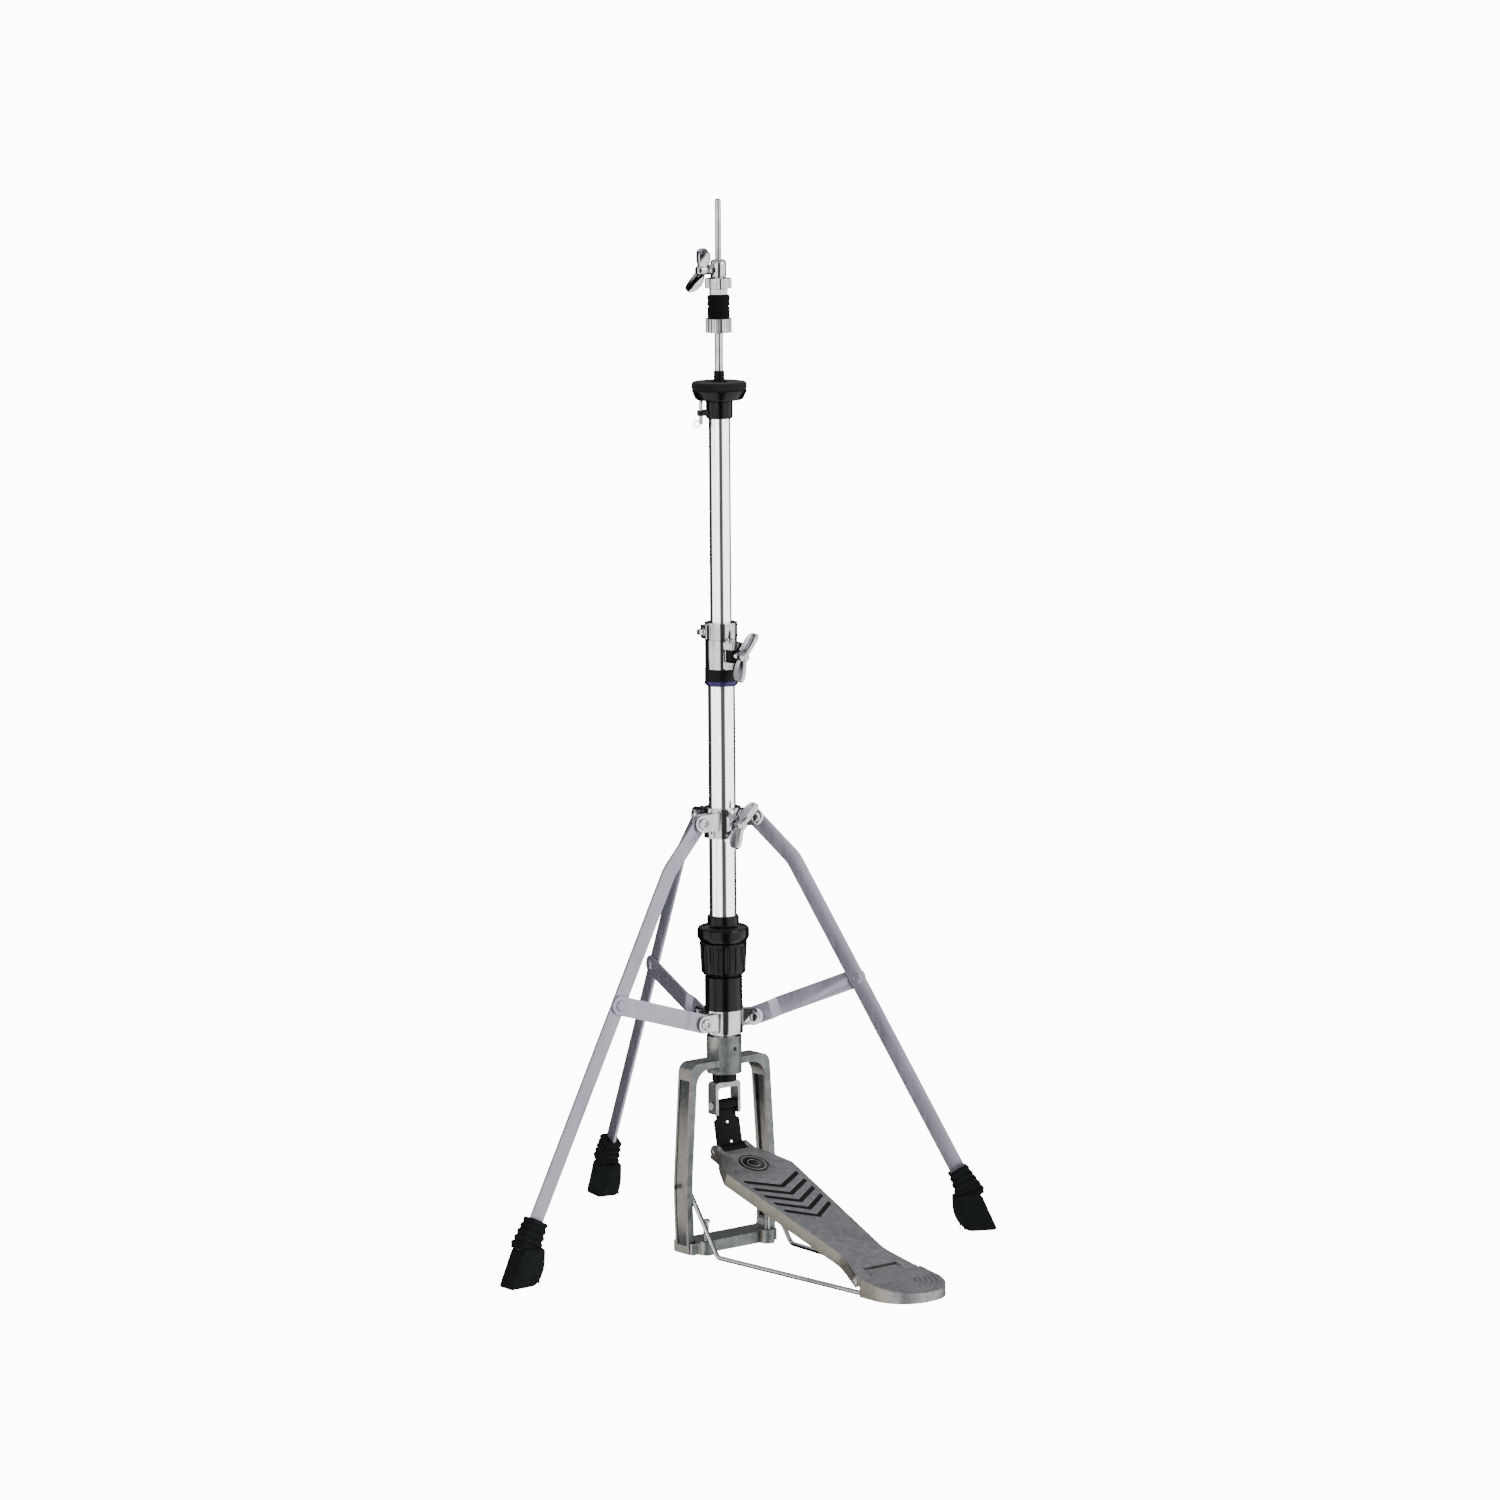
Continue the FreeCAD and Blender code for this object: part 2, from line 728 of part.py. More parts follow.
def foot(azimuth):
    """Rubber boot with a ribbed collar, straight outside and rounded inside."""
    r = leg_entry_r
    z = leg_entry_z
    collar = sheet_xz([(r - 9.6, z - 6, 2), (r - 5.6, z - 30, 3), (r + 25.2, z - 27, 2),
                       (r + 9, z + 5, 2)],
                      leg_plane - foot_collar_width / 2, leg_plane + foot_collar_width / 2)
    boot = sheet_xz([(r - 5.6, z - 28, 3), (r - 3.6, z - 46.5, 6), (r + 6, 0, 10),
                     (r + 40, 0, 5), (r + 20, z - 19, 4)],
                    leg_plane - foot_boot_width / 2, leg_plane + foot_boot_width / 2)
    body = joined([collar, boot])
    along = Vector(math.sin(leg_slope), 0, -math.cos(leg_slope))
    entry = Vector(r, leg_plane, z)
    for i in range(foot_rib_count):
        place = entry + along * (3.5 + 4.6 * i)
        body = body.cut(rib_groove(place, along))
    low = leg_plane - leg_thickness / 2
    high = leg_plane + leg_thickness / 2
    body = body.cut(sheet_xz(strip((knee_r, knee_z), leg_end(), leg_width), low, high))
    return swung(body, azimuth)


def rib_groove(place, along):
    """A square groove around the collar of a foot."""
    half_width = foot_collar_width / 2
    half_depth = 13.0
    across = Vector(along.z, 0, -along.x)
    groove = Part.makeBox(80, 60, 1.6)
    groove.translate(Vector(-40, -30, 0))
    core = Part.makeBox(2 * half_depth - 2 * foot_rib_cut - 1.2,
                        2 * half_width - 2 * foot_rib_cut, 4)
    core.translate(Vector(-half_depth + foot_rib_cut + 0.6, -half_width + foot_rib_cut, -1))
    tool = groove.cut(core)
    turn = FreeCAD.Rotation(across * -1, AHEAD, along * -1, "ZXY")
    tool.Placement = FreeCAD.Placement(place, turn)
    return tool


def brace(azimuth):
    """Flat stay with a joggle, from the lower hub to the side of its leg."""
    half = brace_thickness / 2
    step = brace_plane - leg_plane
    reach = brace_width / 2
    near = -half
    far = half
    joggle_end = joggle_start + joggle_length
    profile = [(-reach, near, 0), (joggle_start, near, 4), (joggle_end, near + step, 4),
               (brace_length + reach, near + step, 0), (brace_length + reach, far + step, 0),
               (joggle_end, far + step, 4), (joggle_start, far, 4), (-reach, far, 0)]
    bent = sheet_xy(profile, -reach, reach)
    shape = sheet_xz([(-reach, -reach, reach - 0.1), (brace_length + reach, -reach, reach - 0.1),
                      (brace_length + reach, reach, reach - 0.1), (-reach, reach, reach - 0.1)],
                     -reach, reach + step)
    body = bent.common(shape)
    body = body.cut(bar(bolt_d / 2 + fit, Vector(0, -9, 0), Vector(0, 9, 0)))
    body = body.cut(bar(rivet_d / 2, Vector(brace_length, -9, 0), Vector(brace_length, 19, 0)))
    body.rotate(ORIGIN, AHEAD, -math.degrees(brace_rise))
    body.translate(Vector(brace_pivot_r, leg_plane, brace_pivot_z))
    return swung(body, azimuth)


def brace_rivet(azimuth):
    """Brace half of the rivet at the leg."""
    low = brace_plane - brace_thickness / 2
    high = brace_plane + brace_thickness / 2
    shank = cross_bar(rivet_d / 2, brace_on_leg_r, brace_on_leg_z, low, high)
    head = cross_bar(rivet_head_d / 2, brace_on_leg_r, brace_on_leg_z, high,
                     high + rivet_head_height)
    return swung(joined([shank, head]), azimuth)


# ---------------------------------------------------------------- wing bolts

def wing_bolt(tip_y, boss_y, z, turn):
    """A wing bolt along -Y: shank from tip_y out to its boss, two swept wings."""
    end_y = boss_y - wing_boss_length
    shank = bar(wing_bolt_d / 2, Vector(0, tip_y, z), Vector(0, boss_y, z))
    boss = bar(wing_boss_d / 2, Vector(0, boss_y, z), Vector(0, end_y, z))
    half = wing_span / 2
    points = [(boss_y - 1.5, 0, 0), (boss_y - 1.5 - wing_sweep * 0.6, half * 0.92, wing_tip_r * 0.6),
              (end_y - wing_sweep, half, wing_tip_r * 0.5), (end_y - 1, wing_root / 2, 6),
              (end_y - 1, -wing_root / 2, 6), (end_y - wing_sweep, -half, wing_tip_r * 0.5),
              (boss_y - 1.5 - wing_sweep * 0.6, -half * 0.92, wing_tip_r * 0.6)]
    wings = sheet_yz(points, -wing_thickness / 2, wing_thickness / 2)
    wings.translate(UP * z)
    body = joined([shank, boss, wings])
    body.rotate(Vector(0, 0, z), AHEAD, -turn)
    return body


def hub_wing_bolt():
    """Wing bolt that locks the upper hub on the tube."""
    middle = upper_hub_bottom_z + upper_hub_height / 2
    return wing_bolt(-tube_r - gap, -hub_boss_r - 1.0, middle, hub_wing_turn)


def clamp_wing_bolt():
    """Wing bolt that locks the upper tube at its height."""
    tip = -clamp_liner_d / 2 - gap
    return wing_bolt(tip, clamp_boss_y - 2.0, clamp_bolt_z, clamp_wing_turn)


# ---------------------------------------------------------------- height clamp

def clamp_trim_ring():
    """Coloured ring under the height clamp."""
    bottom = trim_ring_bottom_z
    top = bottom + trim_ring_height
    edge = trim_ring_d / 2
    return turned([(tube_r, bottom), (edge - 1.6, bottom), (edge, bottom + 1.8),
                   (edge - 0.5, top), (tube_r, top)])


def clamp_bushing():
    """Nylon bush on the lower tube, with a liner for the upper tube."""
    bottom = trim_ring_bottom_z + trim_ring_height
    top = clamp_bottom_z + clamp_height - 1
    band = rod(bushing_band_d / 2, bottom, clamp_bottom_z)
    liner = rod(clamp_liner_d / 2, clamp_bottom_z, top)
    body = joined([band, liner]).cut(rod(tube_r, bottom - 1, lower_tube_top_z))
    return body.cut(rod(upper_r + fit, lower_tube_top_z - 1, top + 1))


def clamp_body():
    """Chrome collar around the bushing, with two lugs that hold the nut."""
    top = clamp_bottom_z + clamp_height
    collar = rod(clamp_d / 2, clamp_bottom_z, top)
    half = clamp_lug_width / 2
    lug_low = clamp_bolt_z - clamp_nut_side / 2
    lug_high = clamp_bolt_z + clamp_nut_side / 2
    points = [(-half, -8, 0), (-half, -clamp_lug_reach, 3), (half, -clamp_lug_reach, 3),
              (half, -8, 0)]
    lugs = [sheet_xy(points, lug_low - clamp_lug_thickness, lug_low),
            sheet_xy(points, lug_high, lug_high + clamp_lug_thickness)]
    body = joined([collar] + lugs)
    body = body.cut(rod(clamp_liner_d / 2, clamp_bottom_z - 1, top - 1))
    body = body.cut(rod(upper_r + gap, top - 2, top + 1))
    hole = bar(wing_bolt_d / 2 + gap, Vector(0, -8, clamp_bolt_z),
               Vector(0, -clamp_d, clamp_bolt_z))
    return body.cut(hole)


def clamp_nut():
    """Square nut held between the lugs of the clamp."""
    half = clamp_nut_side / 2
    front = -clamp_d / 2 - 1.5
    nut = block(-half, half, front - clamp_nut_length, front, clamp_bolt_z - half,
                clamp_bolt_z + half)
    hole = bar(wing_bolt_d / 2 + fit, Vector(0, 0, clamp_bolt_z),
               Vector(0, -clamp_d * 2, clamp_bolt_z))
    return nut.cut(hole)


def memory_lock():
    """Collar on the upper tube that marks its height."""
    top = lock_bottom_z + lock_height
    collar = rod(lock_d / 2, lock_bottom_z, top)
    lug = block(lock_d / 2 - 4, lock_lug_reach, -5, 5, lock_bottom_z + 1.5, top - 1.5)
    body = joined([collar, lug]).cut(rod(upper_r + fit, lock_bottom_z - 1, top + 1))
    middle = lock_bottom_z + lock_height / 2
    hole = bar(lock_bolt_d / 2, Vector(upper_r - 1, 0, middle),
               Vector(lock_lug_reach + 1, 0, middle))
    return swung(body.cut(hole), lock_azimuth)


def memory_lock_bolt():
    """Square-headed key bolt of the memory lock."""
    middle = lock_bottom_z + lock_height / 2
    shank = bar(lock_bolt_d / 2, Vector(upper_r + gap, 0, middle),
                Vector(lock_lug_reach, 0, middle))
    collar = bar(4.4, Vector(lock_lug_reach, 0, middle), Vector(lock_lug_reach + 1.5, 0, middle))
    head = block(lock_lug_reach + 1.5, lock_bolt_reach, -2.6, 2.6, middle - 2.6, middle + 2.6)
    return swung(joined([shank, collar, head]), lock_azimuth)


# ---------------------------------------------------------------- cymbal seat

def seat_sleeve_cap():
    """Moulded cap on the upper tube, with a lug for the tilt screw."""
    bottom = cap_top_z - cap_height
    edge = cap_d / 2
    cap = turned([(0, bottom), (edge - 0.8, bottom), (edge, bottom + 1), (edge, cap_top_z),
                  (0, cap_top_z)])
    lug = rod(tilt_lug_d / 2, tilt_lug_bottom_z, tilt_lug_bottom_z + tilt_lug_height,
              tilt_screw_r)
    web = block(upper_r + 1, tilt_screw_r, -tilt_lug_d / 2, tilt_lug_d / 2,
                tilt_lug_bottom_z, tilt_lug_bottom_z + tilt_lug_height)
    lug = lug.fuse(web)
    lug = lug.cut(rod(tilt_screw_d / 2 + fit, bottom - 20, cap_top_z, tilt_screw_r))
    body = joined([cap, swung(lug, tilt_azimuth)])
    body = body.cut(rod(upper_r, bottom - 1, upper_tube_top_z))
    body = body.cut(rocker_bar(rocker_rib_r + fit, rocker_half + gap))
    return body.cut(rod(seat_bush_d / 2, bottom, cap_top_z + 1))


def rocker_bar(radius, half):
    """Round bar on the axis that the seat rocks about."""
    axis_z = cap_top_z + gap
    straight = bar(radius, Vector(-rocker_r, -half, axis_z), Vector(-rocker_r, half, axis_z))
    return swung(straight, tilt_azimuth)


def seat_bushing():
    """Nylon bush that guides the pull rod through the cap and the seat."""
    bottom = cap_top_z - cap_height
    top = seat_bush_top_z
    outer = seat_bush_d / 2
    bush = turned([(0, bottom), (outer, bottom), (outer, top - 1), (outer - 0.6, top), (0, top)])
    return bush.cut(rod(rod_r + fit, bottom - 1, top + 1))


def seat_cup():
    """Tapered moulded cup with a rib that rocks in a groove of the cap."""
    bottom = cap_top_z + gap
    top = bottom + seat_cup_height
    foot_r = seat_bottom_d / 2
    edge = seat_d / 2
    hole = seat_hole_d / 2
    cup = turned([(hole, bottom), (foot_r - 1, bottom), (foot_r, bottom + 1.5),
                  (edge - 0.5, top - 2.2), (edge, top), (hole, top)])
    return joined([cup, rocker_bar(rocker_rib_r, rocker_half)])


def seat_felt():
    """Felt washer on the cup, under the lower cymbal."""
    bottom = cap_top_z + gap + seat_cup_height
    top = bottom + seat_felt_height
    edge = seat_d / 2
    hole = seat_hole_d / 2
    return turned([(hole, bottom), (edge, bottom), (edge + 0.3, top - 3), (edge - 0.7, top),
                   (hole, top)])


def tilt_screw():
    """Screw that lifts one side of the seat, with a wire ring to turn it."""
    screw = rod(tilt_screw_d / 2, tilt_screw_bottom_z, cap_top_z)
    ring_r = tilt_ring_d / 2
    loop = Part.makeTorus(ring_r, tilt_ring_wire / 2, Vector(0, 0, 0), AHEAD)
    loop.translate(Vector(ring_r + 1.2, 0, tilt_screw_bottom_z + 0.5))
    body = joined([screw, loop])
    body.translate(ACROSS * tilt_screw_r)
    return swung(body, tilt_azimuth)


# ---------------------------------------------------------------- clutch

def clutch_barrel():
    """Clutch barrel with its threaded tube and the boss of its wing screw."""
    tube_bottom = rod_shoulder_z + gap
    bottom = clutch_barrel_bottom_z
    top = bottom + clutch_barrel_height
    edge = clutch_barrel_d / 2
    barrel = turned([(0, tube_bottom), (clutch_tube_d / 2, tube_bottom),
                     (clutch_tube_d / 2, bottom), (edge, bottom), (edge, top - 2.5),
                     (edge - 0.8, top - 0.8), (edge - 2.5, top), (0, top)])
    middle = bottom + clutch_barrel_height / 2 - 1
    boss = bar(clutch_boss_d / 2, Vector(2, 0, middle), Vector(clutch_boss_r, 0, middle))
    body = joined([barrel, swung(boss, clutch_azimuth)])
    hole = bar(wing_bolt_d / 2 + fit, Vector(0, 0, middle), Vector(clutch_boss_r + 5, 0, middle))
    body = body.cut(swung(hole, clutch_azimuth))
    return body.cut(rod(thin_rod_r + fit, tube_bottom - 1, top + 1))


def clutch_wing_screw():
    """Wing screw that locks the clutch on the rod."""
    middle = clutch_barrel_bottom_z + clutch_barrel_height / 2 - 1
    screw = wing_bolt(-thin_rod_r - gap, -clutch_boss_r - 1.0, middle, clutch_wing_turn)
    return swung(screw, clutch_azimuth + 90)


def clutch_felt(bottom):
    """One thick felt washer with a slightly pinched waist."""
    top = bottom + felt_height
    edge = felt_d / 2
    body = turned([(felt_bore_d / 2, bottom), (edge - 0.8, bottom), (edge, bottom + 2),
                   (edge - felt_waist * 0.3, bottom + felt_height / 2), (edge, top - 2),
                   (edge - 0.8, top), (felt_bore_d / 2, top)])
    return body


def clutch_bottom_nut():
    """Knurled nut at the foot of the clutch; its mouth clears the seat bush."""
    bottom = clutch_nut_bottom_z
    top = bottom + clutch_nut_height
    edge = clutch_nut_d / 2
    nut = turned([(0, bottom), (edge - 1, bottom), (edge, bottom + 1), (edge, top - 1),
                  (edge - 1, top), (0, top)])
    knurl = rod(0.9, bottom - 1, top + 1, edge + 0.35)
    nut = nut.cut(around(knurl, clutch_nut_knurls))
    nut = nut.cut(rod(clutch_tube_d / 2 + fit, bottom - 1, top + 1))
    mouth = rod(seat_bush_d / 2 + 2 * gap, bottom - 1, rod_shoulder_z + gap)
    return nut.cut(mouth)


def clutch_lock_nuts():
    """Thin nut on the felts and a lobed nut locked against it."""
    low = clutch_nut_bottom_z + clutch_nut_height + 2 * felt_height + gap
    middle = low + jam_nut_height
    top = middle + gap + lock_nut_height
    thin = sheet_xy(regular(6, jam_nut_d / 2), low, middle)
    lobed = rod(lock_nut_d / 2, middle + gap, top)
    scallop = rod(4.4, middle, top + 1, lock_nut_d / 2 + 2.4)
    lobed = lobed.cut(around(scallop, lock_nut_lobes))
    bore = rod(clutch_tube_d / 2 + fit, low - 1, top + 1)
    return Part.makeCompound([thin.cut(bore), lobed.cut(bore)])


# ---------------------------------------------------------------- clevis, strap

def clevis():
    """U-shaped yoke screwed to the foot of the pull rod."""
    half = clevis_width / 2
    low = clevis_top_z - clevis_height
    inner = half - clevis_leg
    corner_r = 4.0
    shell = sheet_xz([(-half, low, 2.5), (half, low, 2.5), (half, clevis_top_z, corner_r),
                      (-half, clevis_top_z, corner_r)], -clevis_depth / 2, clevis_depth / 2)
    window = sheet_xz([(-inner, low - 5, 0), (inner, low - 5, 0),
                       (inner, clevis_top_z - clevis_bar, 3),
                       (-inner, clevis_top_z - clevis_bar, 3)], -clevis_depth, clevis_depth)
    body = shell.cut(window)
    body = body.cut(rod(rod_r, clevis_top_z - rod_in_clevis, clevis_top_z + 1))
    return body.cut(side_bar(clevis_pin_d / 2, 0, clevis_pin_z, clevis_width))


def side_bar(radius, y, z, half):
    """A round bar along X, centred."""
    return bar(radius, Vector(-half, y, z), Vector(half, y, z))


def clevis_pin():
    """Pin through the clevis and the top eye of the strap."""
    half = clevis_width / 2
    shank = side_bar(clevis_pin_d / 2, 0, clevis_pin_z, half + 1.5)
    heads = [bar(clevis_pin_d / 2 + 1.2, Vector(side * half, 0, clevis_pin_z),
                 Vector(side * (half + 1.5), 0, clevis_pin_z)) for side in (-1, 1)]
    return joined([shank] + heads)


def strap():
    """Link strap from the clevis down to the toe of the footboard."""
    run = Vector(0, toe_pin_y, toe_pin_z - clevis_pin_z)
    length = run.Length
    tongue = strap_tongue_width / 2
    wide = strap_width / 2
    thick = strap_thickness / 2
    upper = block(-tongue, tongue, -thick, thick, -strap_tongue - 2, 0)
    lower = block(-wide, wide, -thick, thick, -length, -strap_tongue)
    top_eye = side_bar(strap_eye_d / 2, 0, 0, tongue)
    toe_eye = side_bar(strap_eye_d / 2, 0, -length, wide)
    body = joined([upper, lower, top_eye, toe_eye])
    body = body.cut(side_bar(clevis_pin_d / 2 + fit, 0, 0, 40))
    body = body.cut(side_bar(toe_pin_d / 2 + toe_eye_play, 0, -length, 40))
    lean = math.degrees(math.atan2(toe_pin_y, toe_pin_z - clevis_pin_z)) - 180
    body.rotate(ORIGIN, ACROSS, -lean)
    body.translate(UP * clevis_pin_z)
    return body


# ---------------------------------------------------------------- footboard

def on_board(shape):
    """Puts a shape modelled flat, hinge at the origin and toe along +Y, in place."""
    placed = shape.copy()
    placed.rotate(ORIGIN, ACROSS, board_angle)
    placed.translate(Vector(0, heel_hinge_y, heel_hinge_z))
    return placed


def board_plan(inset):
    """Half-symmetric plan of the footboard, moved in by an inset."""
    toe = board_length + board_overhang - inset
    right = [(board_half_at_heel - inset, -2 + inset, 2),
             (board_half_at_waist - inset, board_waist_s, 40),
             (board_half_at_neck - inset, board_neck_s, 6),
             (board_half_at_toe + 11 - inset, board_shoulder_s + 4, 8),
             (board_half_at_toe + toe_lug - inset * 0.6, toe - 16, 6),
             (board_half_at_toe + toe_lug - inset * 0.6, toe, 2)]
    left = [(-x, s, r) for x, s, r in reversed(right)]
    return right + left


def footboard():
    """Cast footboard: plate with a rim, five chevron grooves, toe fork and knuckles."""
    top = board_rise
    body = sheet_xy(board_plan(0), top - board_skirt, top)
    hollow = sheet_xy(board_plan(board_rim), top - board_skirt - 1, top - board_plate)
    deep_floor = block(-60, 60, board_waist_s - 6, board_length - 14, -30, 30)
    body = body.cut(hollow.common(deep_floor))
    toe_cut = block(-strap_width / 2 - gap, strap_width / 2 + gap, board_length - 9,
                    board_length + 20, -30, 30)
    body = body.cut(toe_cut)
    toe_trim = block(-60, 60, board_length + 2, board_length + 20, -30, 30)
    body = body.cut(toe_trim)
    ear_inner = strap_width / 2 + gap
    ears = [block(min(side * ear_inner, side * (ear_inner + toe_lug)),
                  max(side * ear_inner, side * (ear_inner + toe_lug)),
                  board_length - 14, board_length, -toe_lug_d / 2, top) for side in (-1, 1)]
    eyes = [bar(toe_lug_d / 2, Vector(side * ear_inner, board_length, 0),
                Vector(side * (ear_inner + toe_lug), board_length, 0)) for side in (-1, 1)]
    tab_half = heel_tab_half + gap
    heel_cut = block(-tab_half, tab_half, -20, heel_tab + heel_tab_air, -30, 30)
    body = joined([body] + ears + eyes).cut(heel_cut)
    heel_trim = block(-60, 60, -40, 0, -30, 30)
    body = body.cut(heel_trim)
    knuckles = [bar(knuckle_d / 2, Vector(side * tab_half, 0, 0),
                    Vector(side * board_half_at_heel, 0, 0)) for side in (-1, 1)]
    body = joined([body] + knuckles)
    body = body.cut(bar(toe_pin_d / 2, Vector(-40, board_length, 0), Vector(40, board_length, 0)))
    body = body.cut(bar(heel_pin_d / 2 + fit, Vector(-60, 0, 0), Vector(60, 0, 0)))
    for i in range(slot_count):
        body = body.cut(chevron(i))
    badge = ring(badge_ring_d / 2, badge_ring_d / 2 - badge_ring_width, top - badge_depth,
                 top + 1, 0, badge_s)
    under = block(-60, 60, -20, 24, -30, -6.5)
    return on_board(body.cut(badge).cut(under))


def chevron(index):
    """A V-shaped groove in the plate, its point towards the heel."""
    point_s = slot_first_s - index * slot_pitch
    half = slot_half - index * slot_half_step
    thick = slot_width / math.cos(math.atan2(slot_rake, half))
    points = [(0, point_s, 0), (half, point_s + slot_rake, 0),
              (half, point_s + slot_rake + thick, 0), (0, point_s + thick, 0),
              (-half, point_s + slot_rake + thick, 0), (-half, point_s + slot_rake, 0)]
    return sheet_xy(points, board_rise - slot_depth, board_rise + 1)


def toe_pin():
    """Pin through the toe fork and the bottom eye of the strap."""
    half = strap_width / 2 + gap + toe_lug + 1
    return side_bar(toe_pin_d / 2, toe_pin_y, toe_pin_z, half)


# ---------------------------------------------------------------- heel and radius rod

def heel_plan(inset):
    """Plan of the heel plate: straight sides and a round end."""
    half = heel_half - inset
    front = heel_hinge_y - knuckle_d / 2 - 2 * gap - inset
    end = heel_end_y + inset
    round_r = heel_round - inset
    return [(-half, front, 2), (-half, end, round_r), (half, end, round_r), (half, front, 2)]


def heel_tab_plan(inset):
    """Plan of the tab that reaches between the knuckles of the footboard."""
    tip = heel_hinge_y + heel_tab - inset
    back = heel_hinge_y - knuckle_d
    half = heel_tab_half - inset
    return [(-half, back, 0), (half, back, 0), (half, tip, 2), (-half, tip, 2)]


def heel_under(drop):
    """Everything under the sloping top of the heel, lowered by a drop."""
    front = heel_hinge_y + 20
    slope = (heel_front_height - heel_end_height) / (heel_hinge_y - heel_end_y)
    high = heel_front_height + slope * 20 - drop
    end = heel_end_y - 10
    low = heel_end_height - slope * 10 - drop
    points = [(end, -1, 0), (front, -1, 0), (front, high, 0), (end, low, 0)]
    return sheet_yz(points, -heel_half - 5, heel_half + 5)


def heel_shape(inset, drop):
    """Heel plate and tab, to the sloping top."""
    plan = sheet_xy(heel_plan(inset), 0, 30)
    tab = sheet_xy(heel_tab_plan(inset), 0, 30)
    return joined([plan, tab]).common(heel_under(drop))


def heel_plate():
    """Cast heel plate with a barrel for the hinge pin and holes for the radius rod."""
    body = heel_shape(0, 0)
    tab_relief = block(-heel_half, heel_half, heel_hinge_y + 0.5, heel_hinge_y + 20, -1,
                       heel_hinge_z - knuckle_d / 2 - 1)
    body = body.cut(tab_relief)
    recess = heel_shape(heel_rim, 0).cut(heel_shape(heel_rim, heel_pad_depth))
    body = body.cut(recess)
    body = body.cut(side_bar(heel_pin_d / 2, heel_hinge_y, heel_hinge_z, 60))
    return body.cut(radius_rod())


def heel_pad():
    """Ribbed rubber mat let into the top of the heel plate."""
    pad = heel_shape(heel_rim, 0).cut(heel_shape(heel_rim, heel_pad_depth))
    centre_y = heel_hinge_y - 26
    for i in range(heel_groove_count):
        radius = heel_half - heel_rim - 3 - i * heel_groove_pitch
        groove = ring(radius, radius - 1.2, -1, 40, 0, centre_y)
        half_moon = block(-60, 60, centre_y - 60, centre_y, -2, 50)
        pad = pad.cut(groove.common(half_moon).cut(heel_under(0.7)))
    return pad


def heel_hinge_pin():
    """Pin through the heel barrel and the knuckles of the footboard."""
    return side_bar(heel_pin_d / 2, heel_hinge_y, heel_hinge_z, board_half_at_heel + 0.5)


def wire_path():
    """Corners of the radius rod on its left side, from the hook to the heel."""
    floor_z = wire_d / 2 + 0.3
    return [Vector(-wire_hook_reach, wire_hook_y, wire_hook_z),
            Vector(-wire_x, wire_hook_y, wire_hook_z),
            Vector(-wire_x, wire_bend_y, floor_z),
            Vector(-wire_heel_x, heel_hinge_y - 6, floor_z),
            Vector(-wire_heel_x, wire_end_y, floor_z)]


def radius_rod():
    """One bent wire: hooked in both posts, along the floor and through the heel."""
    left = wire_path()
    right = [Vector(-p.x, p.y, p.z) for p in reversed(left)]
    points = left + right
    radius = wire_d / 2
    parts = [bar(radius, a, b) for a, b in zip(points, points[1:])]
    parts += [Part.makeSphere(radius, p) for p in points[1:-1]]
    return joined(parts)


# ---------------------------------------------------------------- all nodes

def build():
    """Every piece by its node name."""
    nodes = {
        "pedal_frame": pedal_frame(),
        "spur_screw_left": spur_screw(-1),
        "spur_screw_right": spur_screw(1),
        "rod_guide_bush": rod_guide_bush(),
        "radius_rod": radius_rod(),
        "heel_plate": heel_plate(),
        "heel_pad": heel_pad(),
        "heel_hinge_pin": heel_hinge_pin(),
        "lower_tube": lower_tube(),
        "upper_tube": upper_tube(),
        "lower_pull_rod": lower_pull_rod(),
        "upper_pull_rod": upper_pull_rod(),
        "spring_collar": spring_collar(),
        "pull_spring": pull_spring(),
        "spring_housing": spring_housing(),
        "tension_knob": tension_knob(),
        "tension_nut": tension_nut(),
        "tension_pins": tension_pins(),
        "spring_seat": spring_seat(),
        "housing_sleeve": housing_sleeve(),
        "lower_hub": lower_hub(),
        "brace_bolts": hub_bolts(brace_pivot_r, brace_pivot_z, leg_plane, brace_thickness),
        "upper_hub": upper_hub(),
        "leg_bolts": hub_bolts(leg_pivot_r, leg_pivot_z, leg_plane, leg_thickness),
        "hub_wing_bolt": hub_wing_bolt(),
        "clamp_trim_ring": clamp_trim_ring(),
        "clamp_bushing": clamp_bushing(),
        "clamp_body": clamp_body(),
        "clamp_nut": clamp_nut(),
        "clamp_wing_bolt": clamp_wing_bolt(),
        "memory_lock": memory_lock(),
        "memory_lock_bolt": memory_lock_bolt(),
        "seat_sleeve_cap": seat_sleeve_cap(),
        "seat_bushing": seat_bushing(),
        "seat_cup": seat_cup(),
        "seat_felt": seat_felt(),
        "tilt_screw": tilt_screw(),
        "clutch_barrel": clutch_barrel(),
        "clutch_wing_screw": clutch_wing_screw(),
        "clutch_felt_lower": clutch_felt(clutch_nut_bottom_z + clutch_nut_height),
        "clutch_felt_upper": clutch_felt(clutch_nut_bottom_z + clutch_nut_height + felt_height),
        "clutch_bottom_nut": clutch_bottom_nut(),
        "clutch_lock_nuts": clutch_lock_nuts(),
        "clevis": clevis(),
        "clevis_pin": clevis_pin(),
        "strap": strap(),
        "footboard": footboard(),
        "toe_pin": toe_pin(),
    }
    for name, azimuth in leg_azimuths.items():
        nodes["leg_" + name] = leg(azimuth)
        nodes["foot_" + name] = foot(azimuth)
        nodes["brace_" + name] = brace(azimuth)
        nodes["brace_rivet_" + name] = brace_rivet(azimuth)
    return nodes


